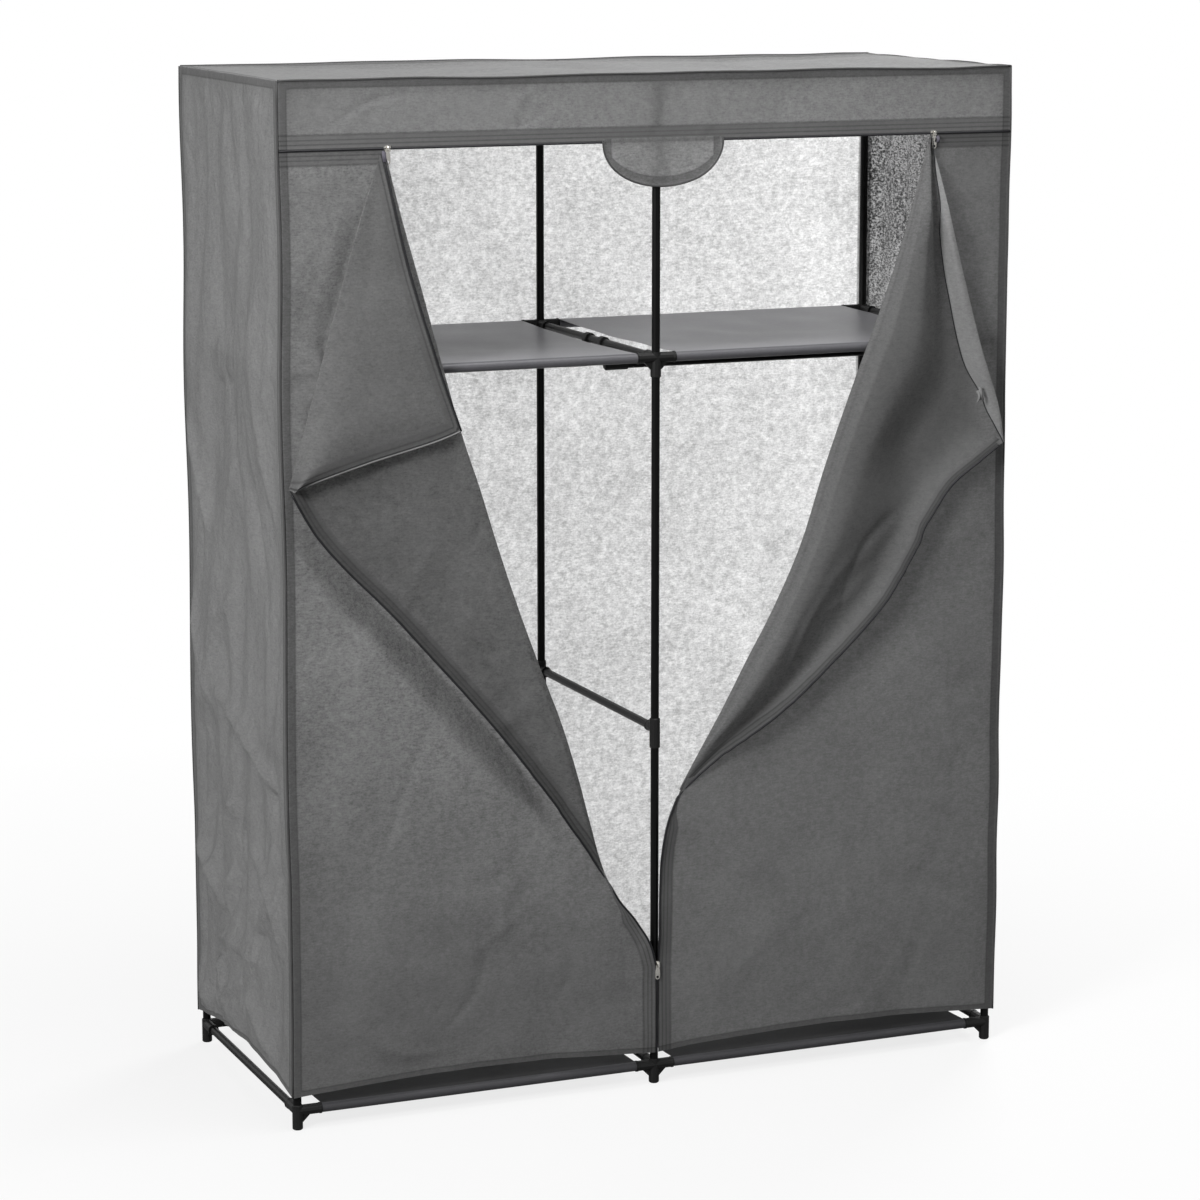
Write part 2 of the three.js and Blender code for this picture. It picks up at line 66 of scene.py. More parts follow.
SIDES = {"left": -1, "right": 1}
COLUMNS = {side: middle(f"depth_tube_{side}_base").x for side in ("left", "middle", "right")}
ROWS = {row: middle(f"width_tube_left_{row}_base").y for row in ("front", "rear")}
LEVELS = {
    level: middle(f"depth_tube_left_{level}").z for level in ("base", "middle", "shelf", "roof")
}
SHELF_LEVELS = {"base": "base", "upper": "shelf"}  # levels of the tubes that carry the shelves
TUBE_RADIUS = (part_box("depth_tube_left_base")[1].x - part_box("depth_tube_left_base")[0].x) / 2
SIDE_X = middle("side_panel_right").x
FRONT_Y = middle("front_valance").y
BACK_Y = middle("back_panel").y
ROOF_Z = middle("roof_panel").z
VALANCE_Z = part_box("front_valance")[0].z
HEM_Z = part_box("side_panel_left")[0].z
ZIP_Z = middle("zip_slider_left").z
DOOR_TOP_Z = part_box("door_left")[1].z
MEETING_Z = middle("zip_slider_centre").z

# Cloth: how it is cut, and how far it may leave its plane
HEM_RISE = 12 * MM
SIDE_HEM_RISE = 24 * MM
HEM_SEAM = 6 * MM  # how much narrower a hem is than the seams at the corners
ROOF_SEAM = 3 * MM  # how much narrower the band under the roof's edge is
ZIP_OVERLAP = 1.6 * MM  # how far the cloth on each side reaches into the gap of the top zip
SIDE_REACH = 21 * MM  # how far the walls at the sides may belly out
BACK_REACH = 2 * MM
TUBE_SINK = 2.2 * MM  # how far cloth may sink in over a tube
TUBE_SPAN = (12 * MM, 80 * MM)  # distances from a tube between which cloth comes free of it
CONNECTOR_STAND = 0.6 * MM  # how far the doors stand off the connectors
CONNECTOR_SPAN = (50 * MM, 110 * MM)  # the same distances from a connector

# Camera
CAMERA_AZIMUTH = math.radians(22.66)
CAMERA_PITCH = math.radians(10.12)
CAMERA_TARGET = Vector((0.081, 0.187, 0.785))
CAMERA_DISTANCE = 6.21
CAMERA_LENS = 111.6
CAMERA_SHIFT = -0.04


# Meshes
def add_object(name, data):
    obj = bpy.data.objects.new(name, data)
    bpy.context.scene.collection.objects.link(obj)
    return obj


def make_object(name, points, faces, materials, values=None):
    """A smooth mesh, with values stored at its points under their names."""
    mesh = bpy.data.meshes.new(name)
    mesh.from_pydata([tuple(p) for p in points], [], [tuple(f) for f in faces])
    for material in materials:
        mesh.materials.append(material)
    mesh.polygons.foreach_set("use_smooth", [True] * len(mesh.polygons))
    for key, numbers in (values or {}).items():
        attribute = mesh.attributes.new(key, "FLOAT", "POINT")
        attribute.data.foreach_set("value", np.asarray(numbers, np.float32))
    mesh.update()
    return add_object(name, mesh)


def grid_faces(rows, columns, start=0, close_columns=False):
    """Faces of a grid of points that are stored row by row."""
    faces = []
    span = columns if close_columns else columns - 1
    for r in range(rows - 1):
        for c in range(span):
            d = (c + 1) % columns
            a = start + r * columns
            b = a + columns
            faces.append((a + c, a + d, b + d, b + c))
    return faces


class Patches:
    """Grids of points that become one mesh, welded where they meet."""

    def __init__(self):
        self.points = []
        self.faces = []
        self.values = {}
        self.count = 0

    def add(self, grid, zip_edge=1.0, seam=1.0, layer=0.0):
        """Distances in metres to a zip's edge and to a sewn edge, and how the cloth lies:
        0 with its outer face to the front, 1 folded over once and 2 folded over twice."""
        rows, columns = grid.shape[:2]
        self.faces += grid_faces(rows, columns, self.count)
        self.points.append(grid.reshape(-1, 3))
        for key, numbers in (("zip_edge", zip_edge), ("seam", seam), ("layer", layer)):
            full = np.zeros((rows, columns)) + numbers
            self.values.setdefault(key, []).append(full.ravel())
        self.count += rows * columns

    def build(self, name, materials):
        values = {key: np.concatenate(parts) for key, parts in self.values.items()}
        obj = make_object(name, np.vstack(self.points), self.faces, materials, values=values)
        weld(obj)
        return obj


def weld(obj, distance=0.02 * MM):
    bm = bmesh.new()
    bm.from_mesh(obj.data)
    bmesh.ops.remove_doubles(bm, verts=bm.verts, dist=distance)
    bmesh.ops.dissolve_degenerate(bm, edges=bm.edges, dist=distance)
    bm.to_mesh(obj.data)
    bm.free()


# Curves
def resample(path, count):
    """count points evenly along a path."""
    steps = np.linalg.norm(np.diff(path, axis=0), axis=1)
    along = np.concatenate([[0], np.cumsum(steps)])
    wanted = np.linspace(0, along[-1], count)
    return np.stack([np.interp(wanted, along, path[:, k]) for k in range(path.shape[1])], 1)


def smooth_curve(points, count=240):
    """count points evenly along a smooth curve through the points."""
    p = np.array(points, float)
    ends = np.vstack([2 * p[0] - p[1], p, 2 * p[-1] - p[-2]])
    t = np.linspace(0, 1, 24, endpoint=False)[:, None]
    pieces = []
    for a, b, c, d in zip(ends, ends[1:], ends[2:], ends[3:]):
        square = (2 * a - 5 * b + 4 * c - d) * t**2
        cube = (3 * b - a - 3 * c + d) * t**3
        pieces.append((2 * b + (c - a) * t + square + cube) / 2)
    return resample(np.vstack(pieces + [p[-1:]]), count)


def along_share(curve, share):
    """Points of an evenly spaced curve at shares of its length."""
    at = np.clip(share, 0, 1) * (len(curve) - 1)
    index = np.arange(len(curve))
    return np.stack([np.interp(at, index, curve[:, k]) for k in range(curve.shape[1])], -1)


def at_height(curve, z):
    """x of a falling curve in the front plane at the heights z."""
    order = np.argsort(curve[:, 1])
    return np.interp(z, curve[order, 1], curve[order, 0])


def ease(x, low=0.0, high=1.0):
    """0 below low, 1 above high, smooth in between."""
    t = np.clip((x - low) / (high - low), 0, 1)
    return t * t * (3 - 2 * t)


def bump(x, centre, width):
    return np.exp(-(((x - centre) / width) ** 2))


# Cloth relief
def billow(u, v, seed, longest=0.7, shortest=0.09, waves=26):
    """A smooth random relief of about unit height over u and v in metres."""
    rng = np.random.RandomState(seed)
    total = np.zeros(np.broadcast(u, v).shape)
    weight = 0
    for _ in range(waves):
        length = longest * (shortest / longest) ** rng.rand()
        turn = rng.rand() * math.pi
        phase = rng.rand() * 2 * math.pi
        size = (length / longest) ** 0.9
        across = (u * math.cos(turn) + v * math.sin(turn)) * 2 * math.pi / length
        total += size * np.cos(across + phase)
        weight += size**2
    return total / math.sqrt(weight)


def crease(u, v, start, end, width, lean=0.0, sharp=False):
    """A ridge from start to end, as a relief of unit height."""
    (u0, v0), (u1, v1) = start, end
    length = math.hypot(u1 - u0, v1 - v0)
    du, dv = (u1 - u0) / length, (v1 - v0) / length
    along = ((u - u0) * du + (v - v0) * dv) / length
    off = (v - v0) * du - (u - u0) * dv - lean * np.sin(math.pi * np.clip(along, 0, 1))
    taper = ease(along, -0.1, 0.35) * (1 - ease(along, 0.65, 1.1))
    spread = (off / (width * (0.5 + np.clip(along, 0, 1)))) ** 2
    return np.exp(-np.sqrt(spread + 0.01) if sharp else -spread) * taper


def creases(u, v, seed, count, low, high, turns, height=3 * MM, length=0.3, sharp=False):
    """Relief of creases at random places in a box, at angles between the turns in degrees."""
    rng = np.random.RandomState(seed)
    total = np.zeros(np.broadcast(u, v).shape)
    for _ in range(count):
        centre = low[0] + (high[0] - low[0]) * rng.rand(), low[1] + (high[1] - low[1]) * rng.rand()
        turn = math.radians(turns[0] + (turns[1] - turns[0]) * rng.rand())
        half = length * (0.5 + rng.rand()) / 2
        du, dv = half * math.cos(turn), half * math.sin(turn)
        start, end = (centre[0] - du, centre[1] - dv), (centre[0] + du, centre[1] + dv)
        size = height * (0.4 + 0.8 * rng.rand()) * (1 if rng.rand() > 0.4 else -1)
        width = 0.05 * length * (0.7 + rng.rand())
        total += size * crease(u, v, start, end, width, 0.03 * rng.randn(), sharp)
    return total


def clear_of_tubes(out, z, levels, most=14 * MM):
    """Keeps cloth from sinking into the tubes at the levels behind it."""
    gap = np.min([np.abs(z - LEVELS[level]) for level in levels], axis=0)
    return np.maximum(out, -TUBE_SINK - most * ease(gap, *TUBE_SPAN))


def clear_of_connectors(out, x, z, most=60 * MM):
    """Keeps cloth off the connectors on the front posts."""
    apart = [np.hypot(x - post, z - LEVELS["shelf"]) for post in COLUMNS.values()]
    free = ease(np.min(apart, axis=0), *CONNECTOR_SPAN)
    return np.maximum(out, CONNECTOR_STAND - most * free)


# Materials
class Shader:
    """The node tree of a material or a world, built a node at a time."""

    def __init__(self, name, owners=bpy.data.materials, output="OutputMaterial"):
        self.owner = owners.new(name)
        self.owner.use_nodes = True
        self.tree = self.owner.node_tree
        self.tree.nodes.clear()
        self.output = self.node(output)

    def node(self, kind, inputs=None, **settings):
        made = self.tree.nodes.new("ShaderNode" + kind)
        for key, value in settings.items():
            setattr(made, key, value)
        for key, value in (inputs or {}).items():
            socket = made.inputs[key]
            if isinstance(value, bpy.types.NodeSocket):
                self.tree.links.new(value, socket)
            else:
                socket.default_value = value
        return made

    def math(self, operation, a, b=0.0):
        return self.node("Math", {0: a, 1: b}, operation=operation).outputs[0]

    def times(self, a, b):
        return self.math("MULTIPLY", a, b)

    def scaled(self, value, low, high, to_low, to_high):
        keys = {"Value": value, "From Min": low, "From Max": high, "To Min": to_low, "To Max": to_high}
        return self.node("MapRange", keys).outputs["Result"]

    def blend(self, factor, a, b):
        keys = {"Factor": factor, "A": a, "B": b}
        return self.node("Mix", keys, data_type="FLOAT").outputs["Result"]

    def noise(self, scale, detail=3.0, roughness=0.55, stretch=(1, 1, 1)):
        place = self.node("TexCoord").outputs["Object"]
        if stretch != (1, 1, 1):
            place = self.node("Mapping", {"Vector": place, "Scale": stretch}).outputs["Vector"]
        keys = {"Vector": place, "Scale": scale, "Detail": detail, "Roughness": roughness}
        return self.node("TexNoise", keys).outputs["Fac"]

    def ramp(self, value, stops):
        made = self.node("ValToRGB", {"Fac": value})
        elements = made.color_ramp.elements
        while len(elements) < len(stops):
            elements.new(0.5)
        for element, (place, level) in zip(elements, stops):
            element.position = place
            element.color = (*grey(level), 1)
        return made.outputs["Color"]

    def tint(self, colour, factor):
        """A colour times a grey value."""
        keys = {"Vector": colour, "Scale": factor}
        return self.node("VectorMath", keys, operation="SCALE").outputs[0]

    def surface(self, shader):
        self.tree.links.new(shader.outputs[0], self.output.inputs["Surface"])
        return self.owner


def grey(level):
    return (level, level, level)


def linear(value):
    """Linear light of a display value from 0 to 255."""
    share = value / 255
    return share / 12.92 if share <= 0.04045 else ((share + 0.055) / 1.055) ** 2.4


# Stripes across the sewn bands, from the edge inwards: distance in mm and brightness
OUTER_BAND = [
    (0.0, 0.45), (1.4, 0.45), (2.2, 1.06), (5.8, 1.0), (6.6, 0.64), (8.0, 0.64), (8.8, 0.98),
    (12.4, 0.98), (13.2, 0.66), (14.6, 0.66), (15.4, 1.0), (19.6, 0.96), (20.6, 0.62),
    (22.4, 0.68), (24.5, 1.0),
]
INNER_BAND = [
    (0.0, 0.35), (1.6, 0.4), (2.6, 0.8), (5.5, 0.74), (6.4, 0.5), (7.6, 0.5), (8.6, 0.82),
    (12.0, 0.76), (13.0, 0.52), (14.2, 0.55), (15.6, 1.0),
]
CORNER_BAND = [
    (0.0, 1.15), (1.6, 1.15), (2.2, 0.42), (3.6, 0.42), (4.4, 1.1), (8.6, 1.0), (9.6, 0.64),
    (11.2, 0.64), (12.4, 1.0),
]
# Across a seam: dark stitch lines, and between them a darker band that is painted shade; at the front
# corners it stands in for the posts' shadow seen through the cloth.
SEAM_AND_SHADE_BAND = [
    (0.0, 0.6), (1.2, 0.6), (2.2, 1.0), (3.6, 1.0), (4.6, 0.78), (12.6, 0.74), (13.4, 0.58),
    (14.4, 0.58), (15.6, 1.0),
]


def stripes(sh, distance, stops):
    """Brightness across a band, by the distance in metres from its edge."""
    width = stops[-1][0] * MM
    place = sh.scaled(distance, 0, width, 0, 1)
    return sh.ramp(place, [(at * MM / width, level) for at, level in stops])


VIOLET_GREY = (0.98, 0.97, 1.05)
CLOUDS, BLOTCHES, FIBRES, STREAKS = 9, 80, 300, 120  # patterns of the cloth, in waves a metre


def stored(sh, key):
    return sh.node("Attribute", attribute_name=key).outputs["Fac"]


def sewn_face(sh, front, zip_edge, seam, layer, inner_face_painted_light, turned):
    """Brightness of the face with its tapes and stitches, painted shade along its seams, and by how the
    cloth lies, whose folded layers carry painted light and shade.
    """
    once = sh.blend(layer, stripes(sh, zip_edge, OUTER_BAND), stripes(sh, zip_edge, INNER_BAND))
    twice = sh.math("SUBTRACT", layer, 1.0)
    front = sh.times(front, sh.blend(twice, once, stripes(sh, zip_edge, CORNER_BAND)))
    # painted shade along the seams, between their stitch lines
    front = sh.times(front, stripes(sh, seam, SEAM_AND_SHADE_BAND))
    # painted light and shade: the inner face's and the turned corner's brightness lighten or darken the
    # flap and its folded corner
    face = sh.ramp(sh.scaled(layer, 0, 2, 0, 1), [(0.0, 1.0), (0.5, inner_face_painted_light), (1.0, turned)])
    return sh.times(front, face)


def sewn_glow(sh, behind, zip_edge, seam, low):
    """Light that comes through: less of it low down, which is painted shade, and less where the cloth
    is sewn double.
    """
    height = sh.node("SeparateXYZ", {0: sh.node("TexCoord").outputs["Object"]}).outputs["Z"]
    # painted shade: the light that comes through is dimmed towards the bottom, by low
    behind = sh.times(behind, sh.scaled(height, 0.2, 0.75, low, 1))
    behind = sh.times(behind, sh.scaled(zip_edge, 20 * MM, 24 * MM, 0.12, 1))
    return sh.times(behind, sh.scaled(seam, 14 * MM, 17 * MM, 0.4, 1))


def cloth_normal(sh, relief, crumple):
    """Normal of the fibres' relief, over small crumples where crumple isn't 0."""
    normal = sh.node("Bump", {"Strength": 0.3, "Distance": 0.4 * MM, "Height": relief}).outputs[0]
    if crumple:
        ridge = sh.math("ABSOLUTE", sh.math("SUBTRACT", sh.noise(15, 5, 0.62, (1, 1, 0.6)), 0.5))
        keys = {"Strength": 1.0, "Distance": crumple * MM, "Height": ridge, "Normal": normal}
        normal = sh.node("Bump", keys).outputs[0]
    return normal


def cloth_material(
    name, light, through, mottle, share=0.5, roughness=0.85, gloss=0.25, blot=0.1, fine=0.75,
    cloudy=0.14, low=1.0, inner_face_painted_light=0.86, turned=1.0, crumple=0.0, stain=0.08, tone=(1, 1, 1),
):
    """Non-woven cloth: its fibres make it blotchy where light comes through."""
    sh = Shader(name)
    cloud = sh.noise(CLOUDS, 2)
    blotch = sh.noise(BLOTCHES, 3, 0.6)
    fibre = sh.noise(FIBRES, 4, 0.75)
    streak = sh.noise(STREAKS, 3, 0.7, (1, 1, 3.2))
    fibres = sh.blend(0.5, fibre, streak)
    patch = sh.blend(cloudy, sh.blend(fine, blotch, fibres), cloud)
    spread = sh.scaled(patch, 0.5 - blot, 0.5 + blot, 0, 1)
    front = sh.scaled(spread, 0, 1, 1 - stain * mottle, 1 + stain * mottle)
    behind = sh.scaled(spread, 0, 1, 1 - mottle, 1 + mottle)

    zip_edge, seam, layer = stored(sh, "zip_edge"), stored(sh, "seam"), stored(sh, "layer")
    front = sewn_face(sh, front, zip_edge, seam, layer, inner_face_painted_light, turned)
    behind = sewn_glow(sh, behind, zip_edge, seam, low)
    keys = {
        "Base Color": sh.tint([light / (1 - share) * t for t in tone], front), "Roughness": roughness,
        "Normal": cloth_normal(sh, sh.math("ADD", fibre, blotch), crumple), "Sheen Weight": 0.06,
        "Specular IOR Level": gloss,
    }
    body = sh.node("BsdfPrincipled", keys)
    glow = sh.node("BsdfTranslucent", {"Color": sh.tint(grey(through / share), behind)})
    return sh.surface(sh.node("MixShader", {"Fac": share, 1: body.outputs[0], 2: glow.outputs[0]}))


def shelf_material(name, light, through, roughness, gloss):
    return cloth_material(name, light, through, 0.3, 0.3, roughness, gloss, tone=VIOLET_GREY)


# The cover is one cloth; these door copies differ by where light falls. On the left door the dark inner
# face, the darker folded corner and the glow dimmed low down are painted shade; the right door's darker
# colour is painted shade, and its slightly lighter inner face and its folded corner's doubled
# brightness are painted light.
LEFT_CLOTH = cloth_material(
    "left_door_cloth", linear(101), 0.22, 0.85, blot=0.13, low=0.25, inner_face_painted_light=0.75, turned=0.9,
    stain=0.14,
)
RIGHT_CLOTH = cloth_material(
    "right_door_cloth", linear(95), 0.13, 0.6, blot=0.13, low=0.95, inner_face_painted_light=1.05, turned=2.1
)
VALANCE = cloth_material("valance_cloth", linear(103), 0.21, 0.5, blot=0.12, cloudy=0.05)
# lighter than the right wall's cloth: painted light on the lit side
LEFT_WALL = cloth_material("left_wall_cloth_painted_light", linear(119), 0.1, 0.5, crumple=14.0)
RIGHT_WALL = cloth_material(
    "right_wall_cloth", linear(104), 0.13, 1.1, blot=0.045, fine=0.85, cloudy=0.1, crumple=8.0
)
BACK_WALL = cloth_material(
    "back_wall_cloth", linear(104), 0.58, 0.4, 0.8, blot=0.1, fine=0.7, cloudy=0.08
)
# lighter than the walls' cloth: painted light from above
ROOF_CLOTH = cloth_material("roof_cloth", linear(112), 0.12, 0.4)
TAB_CLOTH = cloth_material("tab_cloth", linear(100), 0.27, 0.6)
# The shelves are one cloth: the upper tops are lighter than their sleeves as painted light, and the
# base shelf's top and sleeve are dark as painted shade.
SHELF_TOP = {
    "upper": shelf_material("upper_shelf_cloth_painted_light", linear(119), 0.03, 0.34, 0.7),
    "base": shelf_material("base_shelf_cloth_painted_shade", linear(34), 0.01, 0.6, 0.15),
}
SHELF_SLEEVE = {
    "upper": shelf_material("upper_sleeve_cloth", linear(92), 0.03, 0.4, 0.5),
    "base": shelf_material("base_sleeve_cloth_painted_shade", linear(68), 0.01, 0.5, 0.4),
}


def gloss_material(name, colour, roughness, metallic=0.0, grain=0.0, size=900, specular=0.5):
    sh = Shader(name)
    speck = sh.noise(size, 2)
    shade = sh.scaled(sh.noise(30, 2), 0.3, 0.7, 0.85, 1.15)
    keys = {
        "Base Color": sh.tint(colour, shade),
        "Roughness": sh.scaled(speck, 0.3, 0.7, roughness * 0.85, roughness * 1.2),
        "Metallic": metallic, "Specular IOR Level": specular,
    }
    if grain:
        height = {"Strength": grain, "Distance": 0.1 * MM, "Height": speck}
        keys["Normal"] = sh.node("Bump", height).outputs[0]
    return sh.surface(sh.node("BsdfPrincipled", keys))


STEEL = gloss_material("painted_steel", grey(0.0035), 0.34, specular=0.14)
PLASTIC = gloss_material("connector_plastic", grey(0.009), 0.5, specular=0.22, grain=0.35, size=1600)
NICKEL = gloss_material("nickel", (0.8, 0.78, 0.73), 0.2, metallic=1.0)
COIL = gloss_material("zip_coil", (0.012, 0.012, 0.014), 0.5, specular=0.3, grain=0.8, size=1200)
PIPING = gloss_material("seam_thread", grey(linear(74)), 0.85, specular=0.2, grain=0.5, size=700)
BINDING = gloss_material("edge_binding", grey(linear(122)), 0.85, specular=0.2, grain=0.5, size=700)
TAPE = gloss_material("zip_tape", (0.1, 0.095, 0.115), 0.8, specular=0.2, grain=0.5, size=900)


# Carried-over metal and plastic
def dress(node, *materials):
    obj = frame["nodes"][node]
    obj.data.materials.clear()
    for material in materials:
        obj.data.materials.append(material)
    obj.data.polygons.foreach_set("use_smooth", [True] * len(obj.data.polygons))
    obj.data.set_sharp_from_angle(angle=math.radians(38))
    return obj


def dress_post(side, row):
    """Steel tubes between plastic connectors, which stand out beyond the tubes."""
    post = dress(f"post_{side}_{row}", STEEL, PLASTIC)
    bare = TUBE_RADIUS + 0.1 * MM
    moulded = []
    for face in post.data.polygons:
        corners = [post.data.vertices[i].co for i in face.vertices]
        reach = max(math.hypot(c.x - COLUMNS[side], c.y - ROWS[row]) for c in corners)
        moulded.append(int(reach > bare))
    post.data.polygons.foreach_set("material_index", moulded)


PLAIN_PIECES = {
    ("depth_tube", "width_tube", "clothes_rail"): STEEL,
    ("foot", "rail_hanger"): PLASTIC,
    ("zip_slider", "zip_pull"): NICKEL,
}
for beginnings, material in PLAIN_PIECES.items():
    for node in frame["nodes"]:
        if node.startswith(beginnings):
            dress(node, material)
for side in COLUMNS:
    for row in ROWS:
        dress_post(side, row)


# Cover: corners, hems and plain panels
def fade(x, low, high, width=0.06):
    """0 at both ends of a span and 1 away from them."""
    return ease(x - low, 0, width) * ease(high - x, 0, width)


def corner_wave(z, side):
    """How far a vertical corner of the cover wanders from its plane."""
    seed = 5 if side < 0 else 6
    return np.maximum(1.6 * MM * billow(z, 0 * z, seed, 0.6, 0.15, 8), -1 * MM)


def edge_x(z, side):
    """x of the cover's vertical corner at a height."""
    return side * (SIDE_X + corner_wave(z, side))


def rim_height(x, y):
    """Height of the roof's sewn edge."""
    return ROOF_Z + 0.9 * MM * billow(x, y, 7, 0.7, 0.16, 10) * fade(x, -SIDE_X, SIDE_X, 0.1)


def hem_height(u, stops, rise=HEM_RISE):
    """Height of the hem, arched between the posts at the stops."""
    z = np.full(np.shape(u), HEM_Z)
    for a, b in zip(stops, stops[1:]):
        t = np.clip((u - a) / (b - a), 0, 1)
        z = z + rise * 4 * t * (1 - t)
    return z


def finish_cloth(obj, nodes, body="wardrobe"):
    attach(obj, body)
    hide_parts(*nodes)


def cloth_piece(name, node, grid, materials, slot="cover_cloth", **values):
    """A grid of cloth as a piece that takes a node's place."""
    patches = Patches()
    patches.add(grid, **values)
    obj = patches.build(name, materials)
    finish_cloth(obj, [node])
    return obj


def upright_panel(name, low, high, stops, place, relief, material, node, columns, rise=HEM_RISE):
    """A wall of the cover: place turns (u, z, out) into a point."""
    rows = 260
    u = np.linspace(low, high, columns)[None, :] + np.zeros((rows, 1))
    share = np.linspace(0, 1, rows)[:, None]
    bottom = hem_height(u, stops, rise)
    foot = place(u, bottom, 0 * u)
    z = bottom + (rim_height(foot[..., 0], foot[..., 1]) - bottom) * share
    inside = fade(u, low, high) * ease(ROOF_Z - z, 0, 0.05) * ease(z - bottom, -0.03, 0.05)
    out = relief(u, z) * inside
    to_corner = np.minimum(u - low, high - u)
    to_hem = np.minimum(z - bottom + HEM_SEAM, ROOF_Z - z + ROOF_SEAM)
    seam = np.maximum(np.minimum(to_corner, to_hem), 0)
    return cloth_piece(name, node, place(u, z, out), [material], seam=seam)


# Main creases of the side walls: start and end as (y, z), width in metres, height in millimetres
SIDE_CREASES = [
    ((0.253, 0.790), (0.110, 0.590), 0.0143, 28.0),
    ((0.110, 0.625), (-0.200, 0.515), 0.0143, 28.0),
    ((0.253, 0.375), (0.070, 0.275), 0.0132, 28.0),
    ((0.150, 0.215), (-0.110, 0.225), 0.0121, 22.4),
    ((0.130, 0.195), (0.015, 0.070), 0.0121, 25.2),
    ((-0.020, 0.170), (-0.150, 0.080), 0.0121, 25.2),
    ((0.235, 0.170), (0.175, 0.060), 0.0121, 22.4),
    ((-0.060, 0.400), (-0.190, 0.300), 0.0132, 19.6),
    ((0.235, 1.080), (0.120, 0.860), 0.0154, 22.4),
    ((-0.200, 0.900), (-0.120, 1.300), 0.0220, 19.6),
]


def side_relief(seed):
    def relief(u, z):
        total = 5 * MM * billow(u, z * 0.4, seed, 0.5, 0.14)
        total = total + 4.5 * MM * billow(u, z * 0.2, seed + 3, 0.16, 0.04)
        for k, (start, end, width, height) in enumerate(SIDE_CREASES):
            total = total + height * MM * crease(u, z, start, end, width, 0.01 * (-1) ** k, True)
        total += creases(u, z, seed + 1, 22, (-0.2, 0.08), (0.2, 0.45), (100, 135), 12 * MM, 0.16, True)
        total += creases(u, z, seed + 4, 14, (-0.2, 0.45), (0.2, 1.2), (95, 150), 8 * MM, 0.2, True)
        total += creases(u, z, seed + 2, 9, (-0.2, 0.6), (0.2, 1.5), (70, 110), 6 * MM, 0.4)
        total = SIDE_REACH * np.tanh(total / SIDE_REACH)
        return clear_of_tubes(total, z, ("base", "middle", "shelf", "roof"))

    return relief


def side_place(side):
    def place(u, z, out):
        x = side * (SIDE_X + corner_wave(z, side) + out)
        return np.stack([x, u + 0 * x, z], -1)

    return place


left_wall = upright_panel(
    "cover_side_left", FRONT_Y, BACK_Y, (FRONT_Y, BACK_Y), side_place(-1), side_relief(11),
    LEFT_WALL, "side_panel_left", 100, SIDE_HEM_RISE,
)
right_wall = upright_panel(
    "cover_side_right", FRONT_Y, BACK_Y, (FRONT_Y, BACK_Y), side_place(1), side_relief(12),
    RIGHT_WALL, "side_panel_right", 100, SIDE_HEM_RISE,
)
left_wall.data.flip_normals()


def back_place(u, z, out):
    share = (u + SIDE_X) / (2 * SIDE_X)
    x = edge_x(z, -1) + (edge_x(z, 1) - edge_x(z, -1)) * share
    return np.stack([x, BACK_Y + out, z], -1)


def back_relief(u, z):
    total = 2.5 * MM * billow(u, z * 0.7, 21, 0.7, 0.14)
    total += creases(u, z, 22, 12, (-0.5, 0.2), (0.5, 1.45), (20, 70), 3 * MM, 0.3)
    total += creases(u, z, 23, 8, (-0.5, 0.4), (0.5, 1.3), (84, 96), 4 * MM, 0.6)
    return clear_of_tubes(np.minimum(total, BACK_REACH), z, ("base", "shelf", "roof"))


back_wall = upright_panel(
    "cover_back", -SIDE_X, SIDE_X, (-SIDE_X, 0, SIDE_X), back_place, back_relief,
    BACK_WALL, "back_panel", 130,
)
back_wall.data.flip_normals()


# Roof: it sags in each bay and lies on the tube of the middle frame
def roof():
    rows, columns = 60, 130
    x = np.linspace(-1, 1, columns)[None, :] + np.zeros((rows, 1))
    y = np.linspace(FRONT_Y, BACK_Y, rows)[:, None] + np.zeros((1, columns))
    half = SIDE_X + corner_wave(np.full((1, 1), ROOF_Z), -1)
    inside = fade(x * SIDE_X, -SIDE_X, SIDE_X, 0.05) * fade(y, FRONT_Y, BACK_Y, 0.04)
    sag = (1 - np.cos(2 * math.pi * x)) / 2 * 6 * MM
    dip = (sag + 1.8 * MM * (1 + billow(x * SIDE_X, y, 31, 0.5, 0.1))) * inside
    tube_top = LEVELS["roof"] + TUBE_RADIUS + 0.8 * MM
    z = rim_height(x * half, y) - dip
    z = np.maximum(z, tube_top - 30 * MM * ease(np.abs(x * half), 12 * MM, 90 * MM))
    seam = np.minimum(SIDE_X - np.abs(x * SIDE_X), np.minimum(y - FRONT_Y, BACK_Y - y))
    grid = np.stack([x * half, y, z], -1)
    return cloth_piece("cover_roof", "roof_panel", grid, [ROOF_CLOTH], seam=seam)


roof_cloth = roof()


# Valance above the zips
def in_front(x, z, out):
    return np.stack([x, FRONT_Y - out, z], -1)


def valance():
    rows, columns = 30, 160
    x = np.linspace(-1, 1, columns)[None, :] + np.zeros((rows, 1))
    low = VALANCE_Z - ZIP_OVERLAP
    share = np.linspace(0, 1, rows)[:, None]
    z = low + (rim_height(x * SIDE_X, FRONT_Y + 0 * x) - low) * share
    half = SIDE_X + corner_wave(z, -1)
    inside = fade(x * half, -SIDE_X, SIDE_X) * ease(ROOF_Z - z, 0, 0.03)
    inside = inside * ease(z - low, -0.02, 0.03)
    out = 0.9 * MM * billow(x * half, z, 41, 0.4, 0.07)
    out += creases(x * half, z, 42, 12, (-0.55, 1.52), (0.55, 1.58), (20, 70), 1.5 * MM, 0.12)
    out = out * inside
    seam = np.minimum(SIDE_X - np.abs(x * SIDE_X), ROOF_Z - z + ROOF_SEAM)
    grid = in_front(x * half, z, out)
    values = {"zip_edge": z - low, "seam": np.maximum(seam, 0)}
    return cloth_piece("cover_valance", "front_valance", grid, [VALANCE], **values)


valance_cloth = valance()


